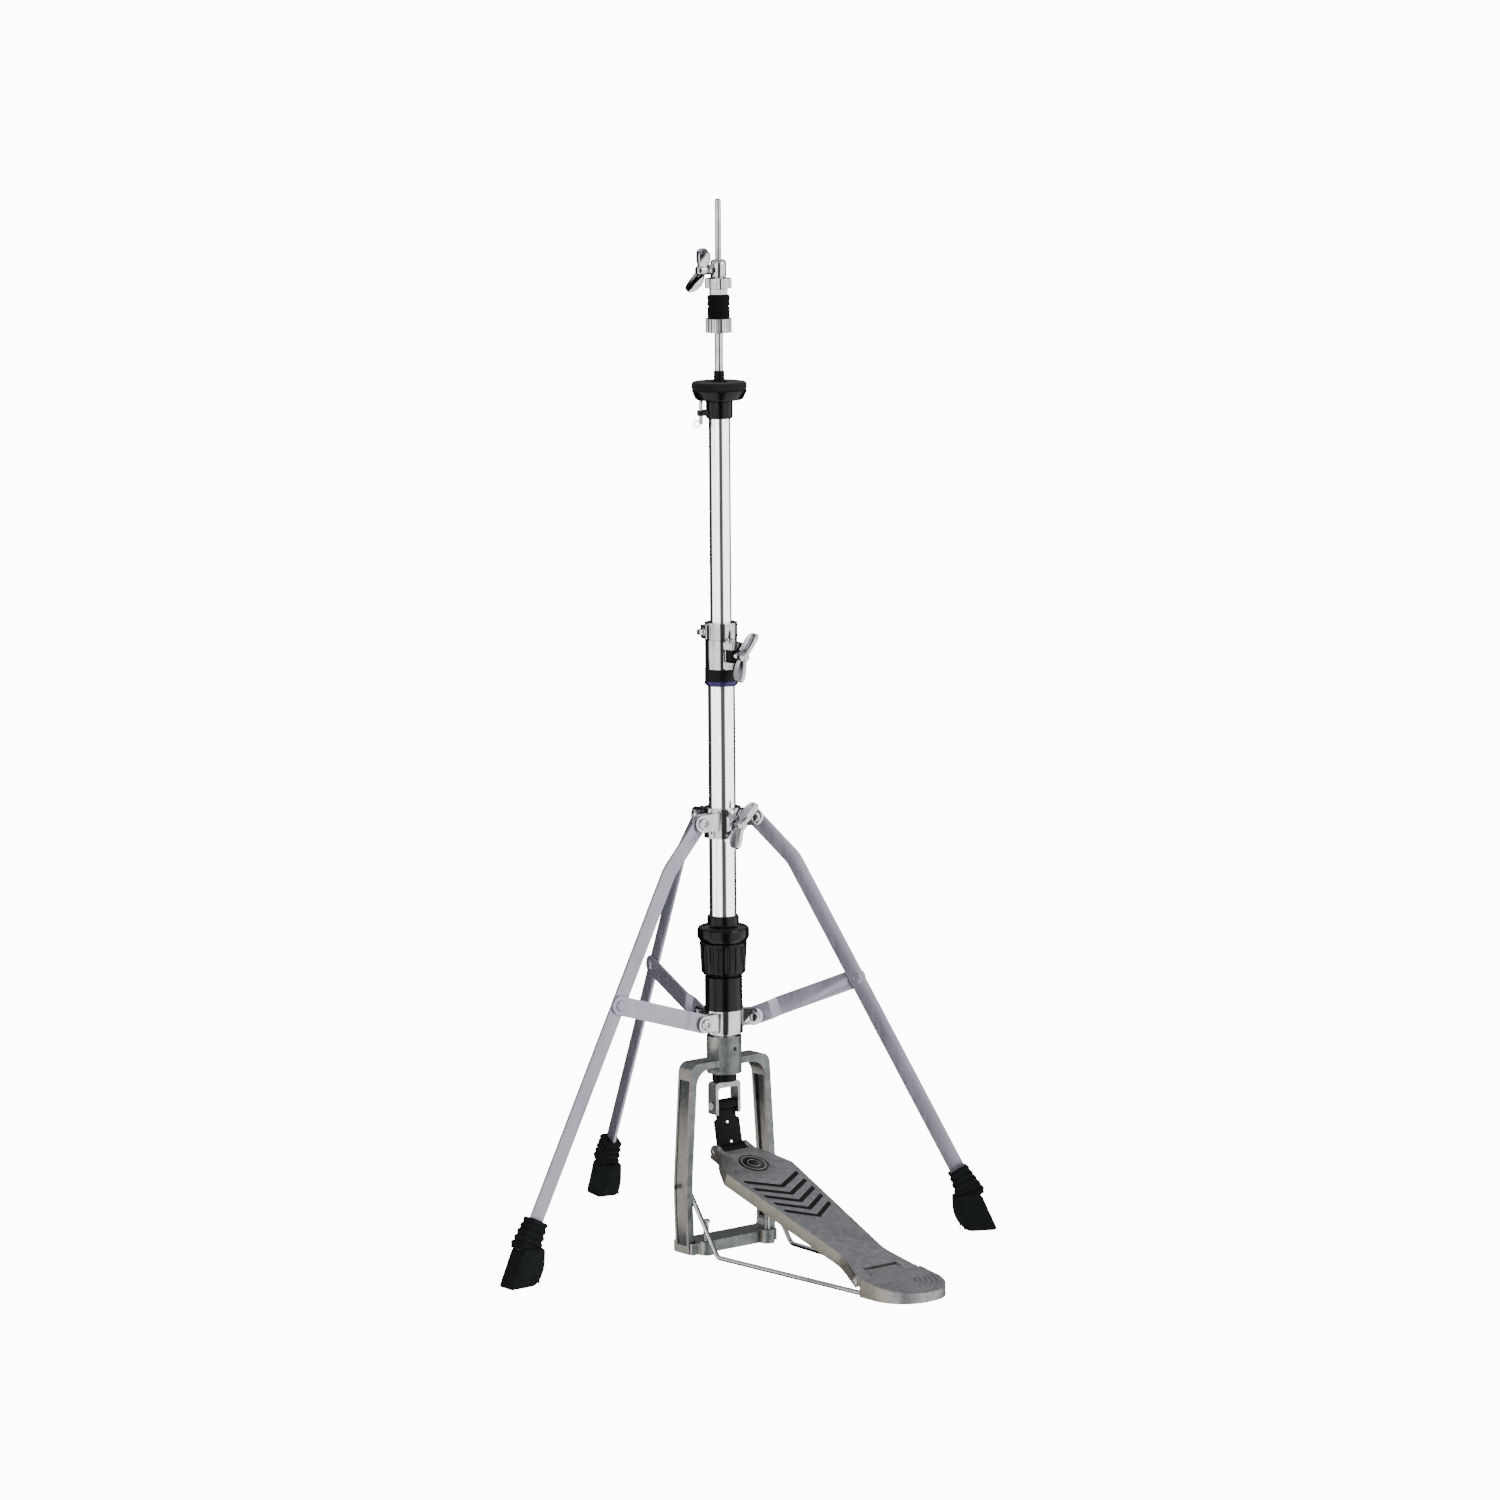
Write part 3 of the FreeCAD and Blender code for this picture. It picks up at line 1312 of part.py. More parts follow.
os.makedirs("parts", exist_ok=True)
for node_name, node_shape in build().items():
    print(node_name, "solids", len(node_shape.Solids), "valid", node_shape.isValid(),
          "volume", round(node_shape.Volume))
    node_shape.exportStep(os.path.join("parts", node_name + ".step"))
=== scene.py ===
# %% [markdown]
# # A hi-hat stand, piece by piece
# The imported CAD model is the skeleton: it gives every piece its place, its size and the
# body that it moves with. This lesson gives each visible piece a finished mesh and a
# finish made of nodes. Lengths below are in millimetres, because that is how a maker
# thinks of tubes and screws, and each mesh is scaled to metres when it is done.

# %% Load the frame
import json
import math

import bmesh
import bpy
from mathutils import Matrix, Vector, noise


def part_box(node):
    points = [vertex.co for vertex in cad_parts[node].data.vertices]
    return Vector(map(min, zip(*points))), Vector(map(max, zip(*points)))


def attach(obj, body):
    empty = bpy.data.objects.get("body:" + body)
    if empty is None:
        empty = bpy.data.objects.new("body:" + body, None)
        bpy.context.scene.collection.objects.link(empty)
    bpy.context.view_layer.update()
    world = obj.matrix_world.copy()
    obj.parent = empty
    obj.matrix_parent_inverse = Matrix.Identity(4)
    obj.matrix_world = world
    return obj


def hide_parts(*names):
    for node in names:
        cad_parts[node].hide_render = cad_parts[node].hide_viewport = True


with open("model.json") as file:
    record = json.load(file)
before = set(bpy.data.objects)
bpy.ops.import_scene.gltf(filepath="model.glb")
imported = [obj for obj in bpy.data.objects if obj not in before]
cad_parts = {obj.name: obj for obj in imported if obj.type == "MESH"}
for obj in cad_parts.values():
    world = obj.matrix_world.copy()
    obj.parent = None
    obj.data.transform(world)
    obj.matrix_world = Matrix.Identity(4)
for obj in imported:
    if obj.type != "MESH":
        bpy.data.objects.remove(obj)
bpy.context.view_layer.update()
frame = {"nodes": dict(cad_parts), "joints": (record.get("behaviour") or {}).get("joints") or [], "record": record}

joints = {joint["name"]: joint for joint in frame["joints"]}
MM = 0.001

# %% [markdown]
# ## Camera
# The camera stands six metres away with a long lens, nine degrees above the horizon and
# a little more than thirty-nine degrees round from the back of the footboard. A long lens
# keeps the upright tube upright.

# %% Camera
CAMERA_ROUND = -39.3
CAMERA_ABOVE = 9.0
CAMERA_ROLL = -0.39
CAMERA_DISTANCE = 6.0
CAMERA_LENS = 155.4
CAMERA_TARGET = Vector((0.0202, -0.0165, 0.4699))


def make_camera():
    """Aims a long-lens camera at the middle of the stand."""
    data = bpy.data.cameras.new("stand_camera")
    data.sensor_width = 36.0
    data.lens = CAMERA_LENS
    data.clip_end = 60.0
    camera = bpy.data.objects.new("stand_camera", data)
    bpy.context.scene.collection.objects.link(camera)
    around = math.radians(CAMERA_ROUND)
    above = math.radians(CAMERA_ABOVE)
    back = Vector((math.sin(around) * math.cos(above), -math.cos(around) * math.cos(above),
                   math.sin(above)))
    camera.location = CAMERA_TARGET + back * CAMERA_DISTANCE
    aim = (-back).to_track_quat("-Z", "Y").to_matrix()
    roll = Matrix.Rotation(math.radians(CAMERA_ROLL), 3, "Z")
    camera.rotation_mode = "QUATERNION"
    camera.rotation_quaternion = (aim @ roll).to_quaternion()
    bpy.context.scene.camera = camera
    return camera


camera = make_camera()
print("camera at", [round(c, 3) for c in camera.location])

# %% [markdown]
# ## Floor and light
# Chrome shows nothing of its own, only the room. So the room matters as much as the metal:
# two wide soft boxes, one at each side, with a dim gap between them behind the camera and
# a dim wall behind the stand. That gap draws the dark line down the middle of each tube,
# and the dim wall draws its dark edges. A narrow dimmer bar splits the left box. Above
# head height the room is grey, so upward faces don't wash out. The floor is pale, and
# hidden from mirror rays and from the light that bounces.

# %% Floor and room
BOX_EDGES = [(-180.0, 0.01), (-100.0, 0.01), (-90.0, 1.0), (-62.0, 1.0), (-58.0, 0.35),
             (-54.0, 1.0), (-10.0, 1.0), (-4.0, 0.03), (26.0, 0.03), (34.0, 1.0),
             (112.0, 1.0), (122.0, 0.01), (180.0, 0.01)]
MIRROR_STRENGTH = 4.2      # what a mirror sees of the room
SOFT_STRENGTH = 0.95       # how much the same room lights a dull surface
BACKDROP_STRENGTH = 14.0   # what the camera sees behind the stand
CEILING = (0.30, 0.30, 0.32, 1.0)
CEILING_STARTS, CEILING_FULL = 0.62, 0.80
FLOOR_GLOW = 12.0
LAMP_AIM = Vector((0, 0, 0.4))


def link_value(tree, kind, operation, first, second=None):
    """A Math node fed by sockets or numbers."""
    node = tree.nodes.new(kind)
    node.operation = operation
    for socket, value in zip(node.inputs, (first, second)):
        if value is None:
            continue
        if isinstance(value, (int, float)):
            socket.default_value = value
        else:
            tree.links.new(value, socket)
    return node.outputs[0]


def make_room():
    """A world whose brightness depends on the compass direction, seen by reflections."""
    world = bpy.data.worlds.new("studio_room")
    world.use_nodes = True
    tree = world.node_tree
    tree.nodes.clear()
    coords = tree.nodes.new("ShaderNodeTexCoord")
    split = tree.nodes.new("ShaderNodeSeparateXYZ")
    tree.links.new(coords.outputs["Generated"], split.inputs[0])
    turn = link_value(tree, "ShaderNodeMath", "ARCTAN2", split.outputs["Y"], split.outputs["X"])
    turn = link_value(tree, "ShaderNodeMath", "ADD", turn, math.radians(90.0 - CAMERA_ROUND))
    turn = link_value(tree, "ShaderNodeMath", "DIVIDE", turn, 2 * math.pi)
    turn = link_value(tree, "ShaderNodeMath", "ADD", turn, 0.5)
    turn = link_value(tree, "ShaderNodeMath", "FRACT", turn)
    walls = tree.nodes.new("ShaderNodeValToRGB")
    band = walls.color_ramp
    while len(band.elements) < len(BOX_EDGES):
        band.elements.new(0.5)
    for element, (angle, level) in zip(band.elements, BOX_EDGES):
        element.position = (angle + 180.0) / 360.0
        element.color = (level, level, level * 1.03, 1.0)
    tree.links.new(turn, walls.inputs["Fac"])
    height = tree.nodes.new("ShaderNodeValToRGB")
    height.color_ramp.elements[0].position = CEILING_STARTS
    height.color_ramp.elements[1].position = CEILING_FULL
    lift = link_value(tree, "ShaderNodeMath", "MULTIPLY_ADD", split.outputs["Z"], 0.5)
    lift.node.inputs[2].default_value = 0.5
    tree.links.new(lift, height.inputs["Fac"])
    room = tree.nodes.new("ShaderNodeMix")
    room.data_type = "RGBA"
    tree.links.new(height.outputs["Color"], room.inputs["Factor"])
    tree.links.new(walls.outputs["Color"], room.inputs[6])
    room.inputs[7].default_value = CEILING
    reflected = tree.nodes.new("ShaderNodeBackground")
    tree.links.new(room.outputs[2], reflected.inputs["Color"])
    rays = tree.nodes.new("ShaderNodeLightPath")
    power = link_value(tree, "ShaderNodeMath", "MULTIPLY_ADD", rays.outputs["Is Glossy Ray"],
                       MIRROR_STRENGTH - SOFT_STRENGTH)
    power.node.inputs[2].default_value = SOFT_STRENGTH
    tree.links.new(power, reflected.inputs["Strength"])
    seen = tree.nodes.new("ShaderNodeBackground")
    seen.inputs["Color"].default_value = (1.0, 1.0, 1.0, 1.0)
    seen.inputs["Strength"].default_value = BACKDROP_STRENGTH
    choose = tree.nodes.new("ShaderNodeMixShader")
    tree.links.new(rays.outputs["Is Camera Ray"], choose.inputs["Fac"])
    tree.links.new(reflected.outputs[0], choose.inputs[1])
    tree.links.new(seen.outputs[0], choose.inputs[2])
    output = tree.nodes.new("ShaderNodeOutputWorld")
    tree.links.new(choose.outputs[0], output.inputs["Surface"])
    bpy.context.scene.world = world


def make_floor():
    """One wide pale sheet under the stand."""
    bm = bmesh.new()
    bmesh.ops.create_grid(bm, x_segments=1, y_segments=1, size=60.0)
    mesh = bpy.data.meshes.new("studio_floor")
    bm.to_mesh(mesh)
    bm.free()
    floor = bpy.data.objects.new("studio_floor", mesh)
    bpy.context.scene.collection.objects.link(floor)
    paper = bpy.data.materials.new("studio_paper")
    paper.use_nodes = True
    shader = paper.node_tree.nodes["Principled BSDF"]
    shader.inputs["Base Color"].default_value = (0.80, 0.80, 0.81, 1.0)
    shader.inputs["Roughness"].default_value = 0.9
    shader.inputs["Emission Color"].default_value = (1.0, 1.0, 1.0, 1.0)
    shader.inputs["Emission Strength"].default_value = FLOOR_GLOW
    floor.visible_diffuse = False
    floor.visible_glossy = False
    mesh.materials.append(paper)


def make_lamp(name, place, size, power):
    """A soft square lamp aimed at the stand."""
    data = bpy.data.lights.new(name, "AREA")
    data.size = size
    data.energy = power
    lamp = bpy.data.objects.new(name, data)
    bpy.context.scene.collection.objects.link(lamp)
    lamp.location = place
    lamp.rotation_mode = "QUATERNION"
    lamp.rotation_quaternion = (LAMP_AIM - Vector(place)).to_track_quat("-Z", "Y")


make_room()
make_floor()
make_lamp("key_lamp", (1.6, -4.0, 3.0), 2.2, 130.0)
make_lamp("fill_lamp", (-3.4, -1.6, 2.0), 2.0, 18.0)
print("room, floor and two lamps")

# %% [markdown]
# ## Finishes
# Each finish starts as one Principled shader. Whatever is the same all over goes straight
# on the shader's sockets. What varies, such as the mottle of a casting or the nap of felt,
# comes from noise on object coordinates, which are metres here, so a scale of 1000 makes
# features about a millimetre wide.

# %% Finish helpers
def new_finish(name, colour, metallic, roughness, **constants):
    """A material with one Principled shader and its constants set."""
    finish = bpy.data.materials.new(name)
    finish.use_nodes = True
    shader = finish.node_tree.nodes["Principled BSDF"]
    shader.inputs["Base Color"].default_value = (*colour, 1.0)
    shader.inputs["Metallic"].default_value = metallic
    shader.inputs["Roughness"].default_value = roughness
    for socket, value in constants.items():
        shader.inputs[socket.replace("_", " ")].default_value = value
    return finish


def mottle(finish, scale, detail=4.0, stretch=(1.0, 1.0, 1.0)):
    """Noise on the object's own coordinates."""
    tree = finish.node_tree
    coords = tree.nodes.new("ShaderNodeTexCoord")
    mapping = tree.nodes.new("ShaderNodeMapping")
    mapping.inputs["Scale"].default_value = stretch
    texture = tree.nodes.new("ShaderNodeTexNoise")
    texture.inputs["Scale"].default_value = scale
    texture.inputs["Detail"].default_value = detail
    tree.links.new(coords.outputs["Object"], mapping.inputs["Vector"])
    tree.links.new(mapping.outputs["Vector"], texture.inputs["Vector"])
    return texture.outputs["Fac"]


def shade(finish, value, stops):
    """A colour ramp over a value, from (place, colour) stops."""
    ramp = finish.node_tree.nodes.new("ShaderNodeValToRGB")
    band = ramp.color_ramp
    while len(band.elements) < len(stops):
        band.elements.new(0.5)
    for element, (place, colour) in zip(band.elements, stops):
        element.position = place
        element.color = (*colour, 1.0) if isinstance(colour, tuple) else (colour,) * 3 + (1.0,)
    finish.node_tree.links.new(value, ramp.inputs["Fac"])
    return ramp.outputs["Color"]


def feed(finish, socket, value):
    """Links a value to a socket of the finish's shader."""
    shader = finish.node_tree.nodes["Principled BSDF"]
    finish.node_tree.links.new(value, shader.inputs[socket])


def vary(finish, socket, value, stops):
    """Drives a socket of the shader from a value, by a ramp."""
    feed(finish, socket, shade(finish, value, stops))


def add_bump(finish, value, depth, strength=1.0):
    """Raises and lowers the surface by a value, depth in millimetres."""
    tree = finish.node_tree
    bump = tree.nodes.new("ShaderNodeBump")
    bump.inputs["Distance"].default_value = depth * MM
    bump.inputs["Strength"].default_value = strength
    tree.links.new(value, bump.inputs["Height"])
    before = tree.nodes["Principled BSDF"].inputs["Normal"]
    if before.is_linked:
        tree.links.new(before.links[0].from_socket, bump.inputs["Normal"])
    tree.links.new(bump.outputs["Normal"], before)


print("finish helpers ready")

# %% [markdown]
# Chrome is a mirror with faint smudges: a little more roughness in patches, and a very
# slow wave in the surface. Hubs, bolts, nuts and rods have a darker plating, so that their
# small shapes read against a pale room. The flat bars of the tripod have a softer plating, rolled
# steel under zinc, so their noise is drawn out along the bar.

# %% Plated metals
chrome = new_finish("chrome_plate", (0.83, 0.83, 0.85), 1.0, 0.08)
vary(chrome, "Roughness", mottle(chrome, 60.0, 5.0), [(0.35, 0.045), (0.75, 0.13)])
vary(chrome, "Base Color", mottle(chrome, 25.0, 2.0),
     [(0.3, (0.80, 0.80, 0.83)), (0.7, (0.87, 0.87, 0.88))])
add_bump(chrome, mottle(chrome, 45.0, 1.0), 0.03)

bright_plate = new_finish("bright_plate", (0.28, 0.28, 0.29), 1.0, 0.10)
vary(bright_plate, "Base Color", mottle(bright_plate, 90.0, 4.0),
     [(0.3, (0.22, 0.22, 0.23)), (0.7, (0.33, 0.33, 0.335))])

zinc = new_finish("zinc_bar", (0.30, 0.30, 0.345), 0.35, 0.38)
vary(zinc, "Base Color", mottle(zinc, 40.0, 6.0, (1.0, 1.0, 0.25)),
     [(0.25, (0.20, 0.20, 0.235)), (0.75, (0.28, 0.28, 0.325))])
vary(zinc, "Roughness", mottle(zinc, 300.0, 4.0, (1.0, 1.0, 0.12)), [(0.3, 0.27), (0.7, 0.42)])
add_bump(zinc, mottle(zinc, 500.0, 3.0, (1.0, 1.0, 0.1)), 0.03, 0.6)

steel = new_finish("plain_steel", (0.42, 0.42, 0.42), 1.0, 0.3)
vary(steel, "Roughness", mottle(steel, 500.0, 4.0), [(0.3, 0.22), (0.7, 0.42)])
vary(steel, "Base Color", mottle(steel, 120.0, 4.0),
     [(0.3, (0.32, 0.32, 0.32)), (0.7, (0.48, 0.48, 0.47))])
print("chrome, bright plate, zinc and steel")

# %% [markdown]
# The frame and the pedal are raw castings: a dull metal with a fine sandy skin and a slow
# greenish mottle. Faces that look sideways carry a painted side tone: a warmer, lighter
# painted highlight on the frame and the board, and a darker painted shade on the clevis.

# %% Castings
def sideways(finish):
    """1 on faces that look to the left or the right of the object, else 0: the mask of the painted side tone."""
    tree = finish.node_tree
    coords = tree.nodes.new("ShaderNodeTexCoord")
    split = tree.nodes.new("ShaderNodeSeparateXYZ")
    tree.links.new(coords.outputs["Normal"], split.inputs[0])
    level = link_value(tree, "ShaderNodeMath", "ABSOLUTE", split.outputs["X"])
    return shade(finish, level, [(0.80, 0.0), (0.93, 1.0)])


def blend_colours(finish, share, first, second):
    """Mixes two colour outputs by a share."""
    mix = finish.node_tree.nodes.new("ShaderNodeMix")
    mix.data_type = "RGBA"
    for socket, value in ((0, share), (6, first), (7, second)):
        finish.node_tree.links.new(value, mix.inputs[socket])
    return mix.outputs[2]


def casting_finish(name, dark, light, side, skin):
    """Cast aluminium with a sandy grain; its sideways faces take the side colour as a painted side tone, lighter
    as a painted highlight and darker as a painted shade.
    """
    finish = new_finish(name, light, 0.75, 0.5)
    cloud = mottle(finish, 160.0, 8.0)
    raw = shade(finish, cloud, [(0.30, dark), (0.70, light)])
    # Painted side tone: sideways faces get the side colour, a painted highlight where it is lighter and a painted
    # shade where it is darker.
    painted_side_tone = shade(finish, cloud, [(0.30, tuple(0.8 * c for c in side)), (0.70, side)])
    feed(finish, "Base Color", blend_colours(finish, sideways(finish), raw, painted_side_tone))
    vary(finish, "Roughness", mottle(finish, 900.0, 3.0), [(0.3, 0.40), (0.7, 0.62)])
    add_bump(finish, mottle(finish, 1600.0, 4.0), skin)
    add_bump(finish, mottle(finish, 260.0, 2.0), skin * 2.0, 0.5)
    return finish


# The third colour of each casting is its painted side tone: a painted highlight on the frame and the board, a
# painted shade on the clevis.
frame_metal = casting_finish("frame_casting", (0.055, 0.065, 0.06), (0.11, 0.12, 0.115),
                             (0.24, 0.225, 0.195), 0.10)
board_metal = casting_finish("board_casting", (0.12, 0.123, 0.125), (0.19, 0.193, 0.195),
                             (0.20, 0.185, 0.15), 0.06)
clevis_metal = casting_finish("clevis_casting", (0.16, 0.16, 0.15), (0.30, 0.30, 0.28),
                              (0.10, 0.105, 0.095), 0.04)
print("three castings")

# %% [markdown]
# Black is never only black. The gloss mouldings have a faint orange peel, the rubber is
# dusty, the felt has a nap that catches light at its edge, and the strap is a coated cloth
# whose weave just shows.

# %% Blacks
gloss_black = new_finish("gloss_black", (0.006, 0.006, 0.007), 0.0, 0.2,
                         Specular_IOR_Level=0.10)
vary(gloss_black, "Roughness", mottle(gloss_black, 220.0, 4.0), [(0.3, 0.14), (0.8, 0.30)])
add_bump(gloss_black, mottle(gloss_black, 700.0, 2.0), 0.02, 0.5)

matt_nylon = new_finish("matt_nylon", (0.008, 0.008, 0.009), 0.0, 0.42,
                        Specular_IOR_Level=0.05)
vary(matt_nylon, "Roughness", mottle(matt_nylon, 400.0, 3.0), [(0.3, 0.35), (0.8, 0.5)])
add_bump(matt_nylon, mottle(matt_nylon, 1500.0, 2.0), 0.02)

violet = new_finish("violet_ring", (0.04, 0.03, 0.10), 0.3, 0.3, Specular_IOR_Level=0.1)
vary(violet, "Base Color", mottle(violet, 300.0, 3.0),
     [(0.3, (0.025, 0.018, 0.075)), (0.8, (0.05, 0.038, 0.12))])

rubber = new_finish("foot_rubber", (0.01, 0.01, 0.011), 0.0, 0.62, Specular_IOR_Level=0.04)
vary(rubber, "Base Color", mottle(rubber, 90.0, 6.0),
     [(0.35, (0.005, 0.006, 0.006)), (0.75, (0.013, 0.015, 0.015))])
vary(rubber, "Roughness", mottle(rubber, 180.0, 4.0), [(0.3, 0.5), (0.75, 0.8)])
add_bump(rubber, mottle(rubber, 1300.0, 3.0), 0.06)

felt = new_finish("clutch_felt", (0.008, 0.008, 0.009), 0.0, 0.98, Sheen_Weight=0.08,
                  Sheen_Roughness=0.5, Specular_IOR_Level=0.02)
add_bump(felt, mottle(felt, 900.0, 6.0), 0.35)
vary(felt, "Base Color", mottle(felt, 1400.0, 4.0),
     [(0.35, (0.004, 0.004, 0.0045)), (0.8, (0.018, 0.018, 0.019))])

seat_felt = new_finish("seat_felt", (0.02, 0.021, 0.021), 0.0, 0.98, Sheen_Weight=0.1,
                       Sheen_Roughness=0.5, Specular_IOR_Level=0.02)
add_bump(seat_felt, mottle(seat_felt, 900.0, 6.0), 0.3)
vary(seat_felt, "Base Color", mottle(seat_felt, 1100.0, 5.0),
     [(0.3, (0.012, 0.013, 0.013)), (0.75, (0.035, 0.037, 0.037))])

coated_cloth = new_finish("strap_cloth", (0.005, 0.005, 0.0055), 0.0, 0.5,
                          Specular_IOR_Level=0.04)
add_bump(coated_cloth, mottle(coated_cloth, 900.0, 2.0, (1.0, 1.0, 3.0)), 0.1)
vary(coated_cloth, "Roughness", mottle(coated_cloth, 500.0, 4.0), [(0.3, 0.36), (0.7, 0.62)])

heel_mat = new_finish("heel_mat", (0.20, 0.20, 0.205), 0.2, 0.55)
vary(heel_mat, "Base Color", mottle(heel_mat, 160.0, 6.0),
     [(0.3, (0.11, 0.115, 0.118)), (0.75, (0.17, 0.175, 0.178))])
add_bump(heel_mat, mottle(heel_mat, 1300.0, 4.0), 0.12)
print("eight finishes, most of them black")

# %% [markdown]
# ## Mesh helpers
# Two ways of starting cover nearly every piece. Round things are a profile spun about the
# column. Flat things are an outline filled with one face and pushed to its thickness.
# Corners are rounded while the shape is still flat, with a vertex bevel, which is far
# tidier than rounding afterwards.

# %% Mesh helpers
def finish_piece(bm, name, finish, body, slot, *stands_for, smooth=32.0):
    """Turns a millimetre bmesh into a piece that rides on a body and replaces CAD nodes."""
    bmesh.ops.remove_doubles(bm, verts=bm.verts, dist=0.0005)
    bmesh.ops.scale(bm, vec=(MM, MM, MM), verts=bm.verts)
    for face in bm.faces:
        face.smooth = True
    mesh = bpy.data.meshes.new(name)
    bm.to_mesh(mesh)
    bm.free()
    mesh.set_sharp_from_angle(angle=math.radians(smooth))
    mesh.materials.append(finish)
    piece = bpy.data.objects.new(name, mesh)
    bpy.context.scene.collection.objects.link(piece)
    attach(piece, body)
    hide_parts(*stands_for)
    print(name, "faces", len(mesh.polygons))


def round_corners(bm, corners, segments=6):
    """Bevels single vertices of a flat outline, each by its own reach."""
    for corner, reach in corners:
        if reach > 0:
            bmesh.ops.bevel(bm, geom=[corner], offset=reach, offset_type="OFFSET",
                            segments=segments, profile=0.5, affect="VERTICES",
                            clamp_overlap=True, material=-1)


def turned(profile, steps=96, closed=True, rounding=0.0):
    """Spins a profile of (radius, height) about the column."""
    bm = bmesh.new()
    points = [bm.verts.new((r, 0.0, z)) for r, z in profile]
    pairs = list(zip(points, points[1:]))
    if closed:
        pairs.append((points[-1], points[0]))
    for a, b in pairs:
        bm.edges.new((a, b))
    if rounding > 0:
        corners = [p for p in points if p.co.x > 1e-6]
        bmesh.ops.bevel(bm, geom=corners, offset=rounding, offset_type="OFFSET", segments=3,
                        profile=0.5, affect="VERTICES", clamp_overlap=True, material=-1)
    bmesh.ops.spin(bm, geom=bm.verts[:] + bm.edges[:], cent=(0, 0, 0), axis=(0, 0, 1),
                   dvec=(0, 0, 0), angle=2 * math.pi, steps=steps, use_merge=True,
                   use_duplicate=False)
    bmesh.ops.remove_doubles(bm, verts=bm.verts, dist=0.0005)
    bmesh.ops.dissolve_degenerate(bm, edges=bm.edges, dist=0.0005)
    bmesh.ops.recalc_face_normals(bm, faces=bm.faces)
    return bm


def thicken(bm, height):
    """Pushes level faces up into a solid."""
    raised = bmesh.ops.extrude_face_region(bm, geom=bm.faces[:], use_keep_orig=True)
    lifted = [v for v in raised["geom"] if isinstance(v, bmesh.types.BMVert)]
    bmesh.ops.translate(bm, vec=(0, 0, height), verts=lifted)
    bmesh.ops.recalc_face_normals(bm, faces=bm.faces)
    return bm


def plate(outline, low, high):
    """A level plate from an outline of (x, y, reach), reach rounding its corner."""
    bm = bmesh.new()
    points = [bm.verts.new((x, y, low)) for x, y, _ in outline]
    bm.faces.new(points)
    round_corners(bm, [(p, reach) for p, (_, _, reach) in zip(points, outline)])
    return thicken(bm, high - low)


def soften(bm, width, segments=2, above=30.0):
    """Bevels every outward edge sharper than an angle."""
    sharp = [e for e in bm.edges if len(e.link_faces) == 2
             and e.calc_face_angle_signed(0.0) > math.radians(above)]
    bmesh.ops.bevel(bm, geom=sharp, offset=width, offset_type="OFFSET", segments=segments,
                    profile=0.5, affect="EDGES", clamp_overlap=True, material=-1)
    return bm


def copied(node):
    """A CAD node's mesh in millimetres, merged and with its flat faces made whole."""
    bm = bmesh.new()
    bm.from_mesh(frame["nodes"][node].data)
    bmesh.ops.scale(bm, vec=(1000.0,) * 3, verts=bm.verts)
    bmesh.ops.remove_doubles(bm, verts=bm.verts, dist=0.002)
    bmesh.ops.dissolve_limit(bm, angle_limit=math.radians(0.6), use_dissolve_boundaries=False,
                             verts=bm.verts, edges=bm.edges)
    return bm


def finish_copy(node, name, finish, body, slot, width, segments=2):
    """Finishes a CAD node's own shape with its outer edges bevelled."""
    finish_piece(soften(copied(node), width, segments), name, finish, body, slot, node)


def joined(*shapes):
    """Several bmeshes in one."""
    whole = bmesh.new()
    for shape in shapes:
        passing = bpy.data.meshes.new("passing")
        shape.to_mesh(passing)
        shape.free()
        whole.from_mesh(passing)
        bpy.data.meshes.remove(passing)
    return whole


def turn(bm, angle, axis, about=(0, 0, 0)):
    """Turns a whole bmesh by degrees about an axis through a point."""
    bmesh.ops.rotate(bm, cent=about, matrix=Matrix.Rotation(math.radians(angle), 3, axis),
                     verts=bm.verts)
    return bm


def move(bm, x=0.0, y=0.0, z=0.0):
    """Moves a whole bmesh."""
    bmesh.ops.translate(bm, vec=(x, y, z), verts=bm.verts)
    return bm


print("mesh helpers ready")

# %% [markdown]
# ## Places
# The frame already knows where everything is. A node's box gives heights and radii, and
# a joint gives a pivot and its axis, so nothing below needs to be measured again. Each leg
# is modelled in its own upright plane, with X outwards, and is then swung to its azimuth.

# %% Places
def corners_of(node):
    """A CAD node's lowest and highest corners in millimetres."""
    low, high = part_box(node)
    return Vector(low) * 1000.0, Vector(high) * 1000.0


def levels(node):
    """The bottom and the top of a CAD node."""
    low, high = corners_of(node)
    return low.z, high.z


def radius_of(node):
    """Half the width of a round CAD node."""
    low, high = corners_of(node)
    return (high.x - low.x) / 2


def pivot(joint_name):
    """A joint's place in millimetres."""
    return Vector(joints[joint_name]["pos_m"]) * 1000.0


def azimuth_of(side):
    """Direction of a leg in degrees, from the axis that it folds about."""
    axis = joints["leg_" + side + "_fold"]["axis"]
    return math.degrees(math.atan2(-axis[0], axis[1]))


SIDES = ("right", "back", "left")
AZIMUTHS = {side: azimuth_of(side) for side in SIDES}


def in_leg_plane(joint_name, side):
    """A joint's (outwards, sideways, up) place in the plane of its leg."""
    return Matrix.Rotation(math.radians(-AZIMUTHS[side]), 3, "Z") @ pivot(joint_name)


def swing(bm, azimuth):
    """Turns a bmesh about the column."""
    return turn(bm, azimuth, "Z")


def upright(bm):
    """Stands a level plate up: its Y becomes Z, and its Z becomes -Y."""
    return turn(bm, 90.0, "X")


print("legs at", {side: round(value, 1) for side, value in AZIMUTHS.items()})

# %% [markdown]
# ## Column
# The tubes and rods are spun from short profiles. Even a plain tube needs its wall and a
# small rounding at the rim, because that rim is where a reflection breaks.

# %% Tubes and rods
def tube(node, wall, radius):
    """A tube with a slightly rounded rim, as tall as its CAD node."""
    bottom, top = levels(node)
    return turned([(radius - wall, bottom), (radius, bottom), (radius, top),
                   (radius - wall, top)], rounding=0.3)


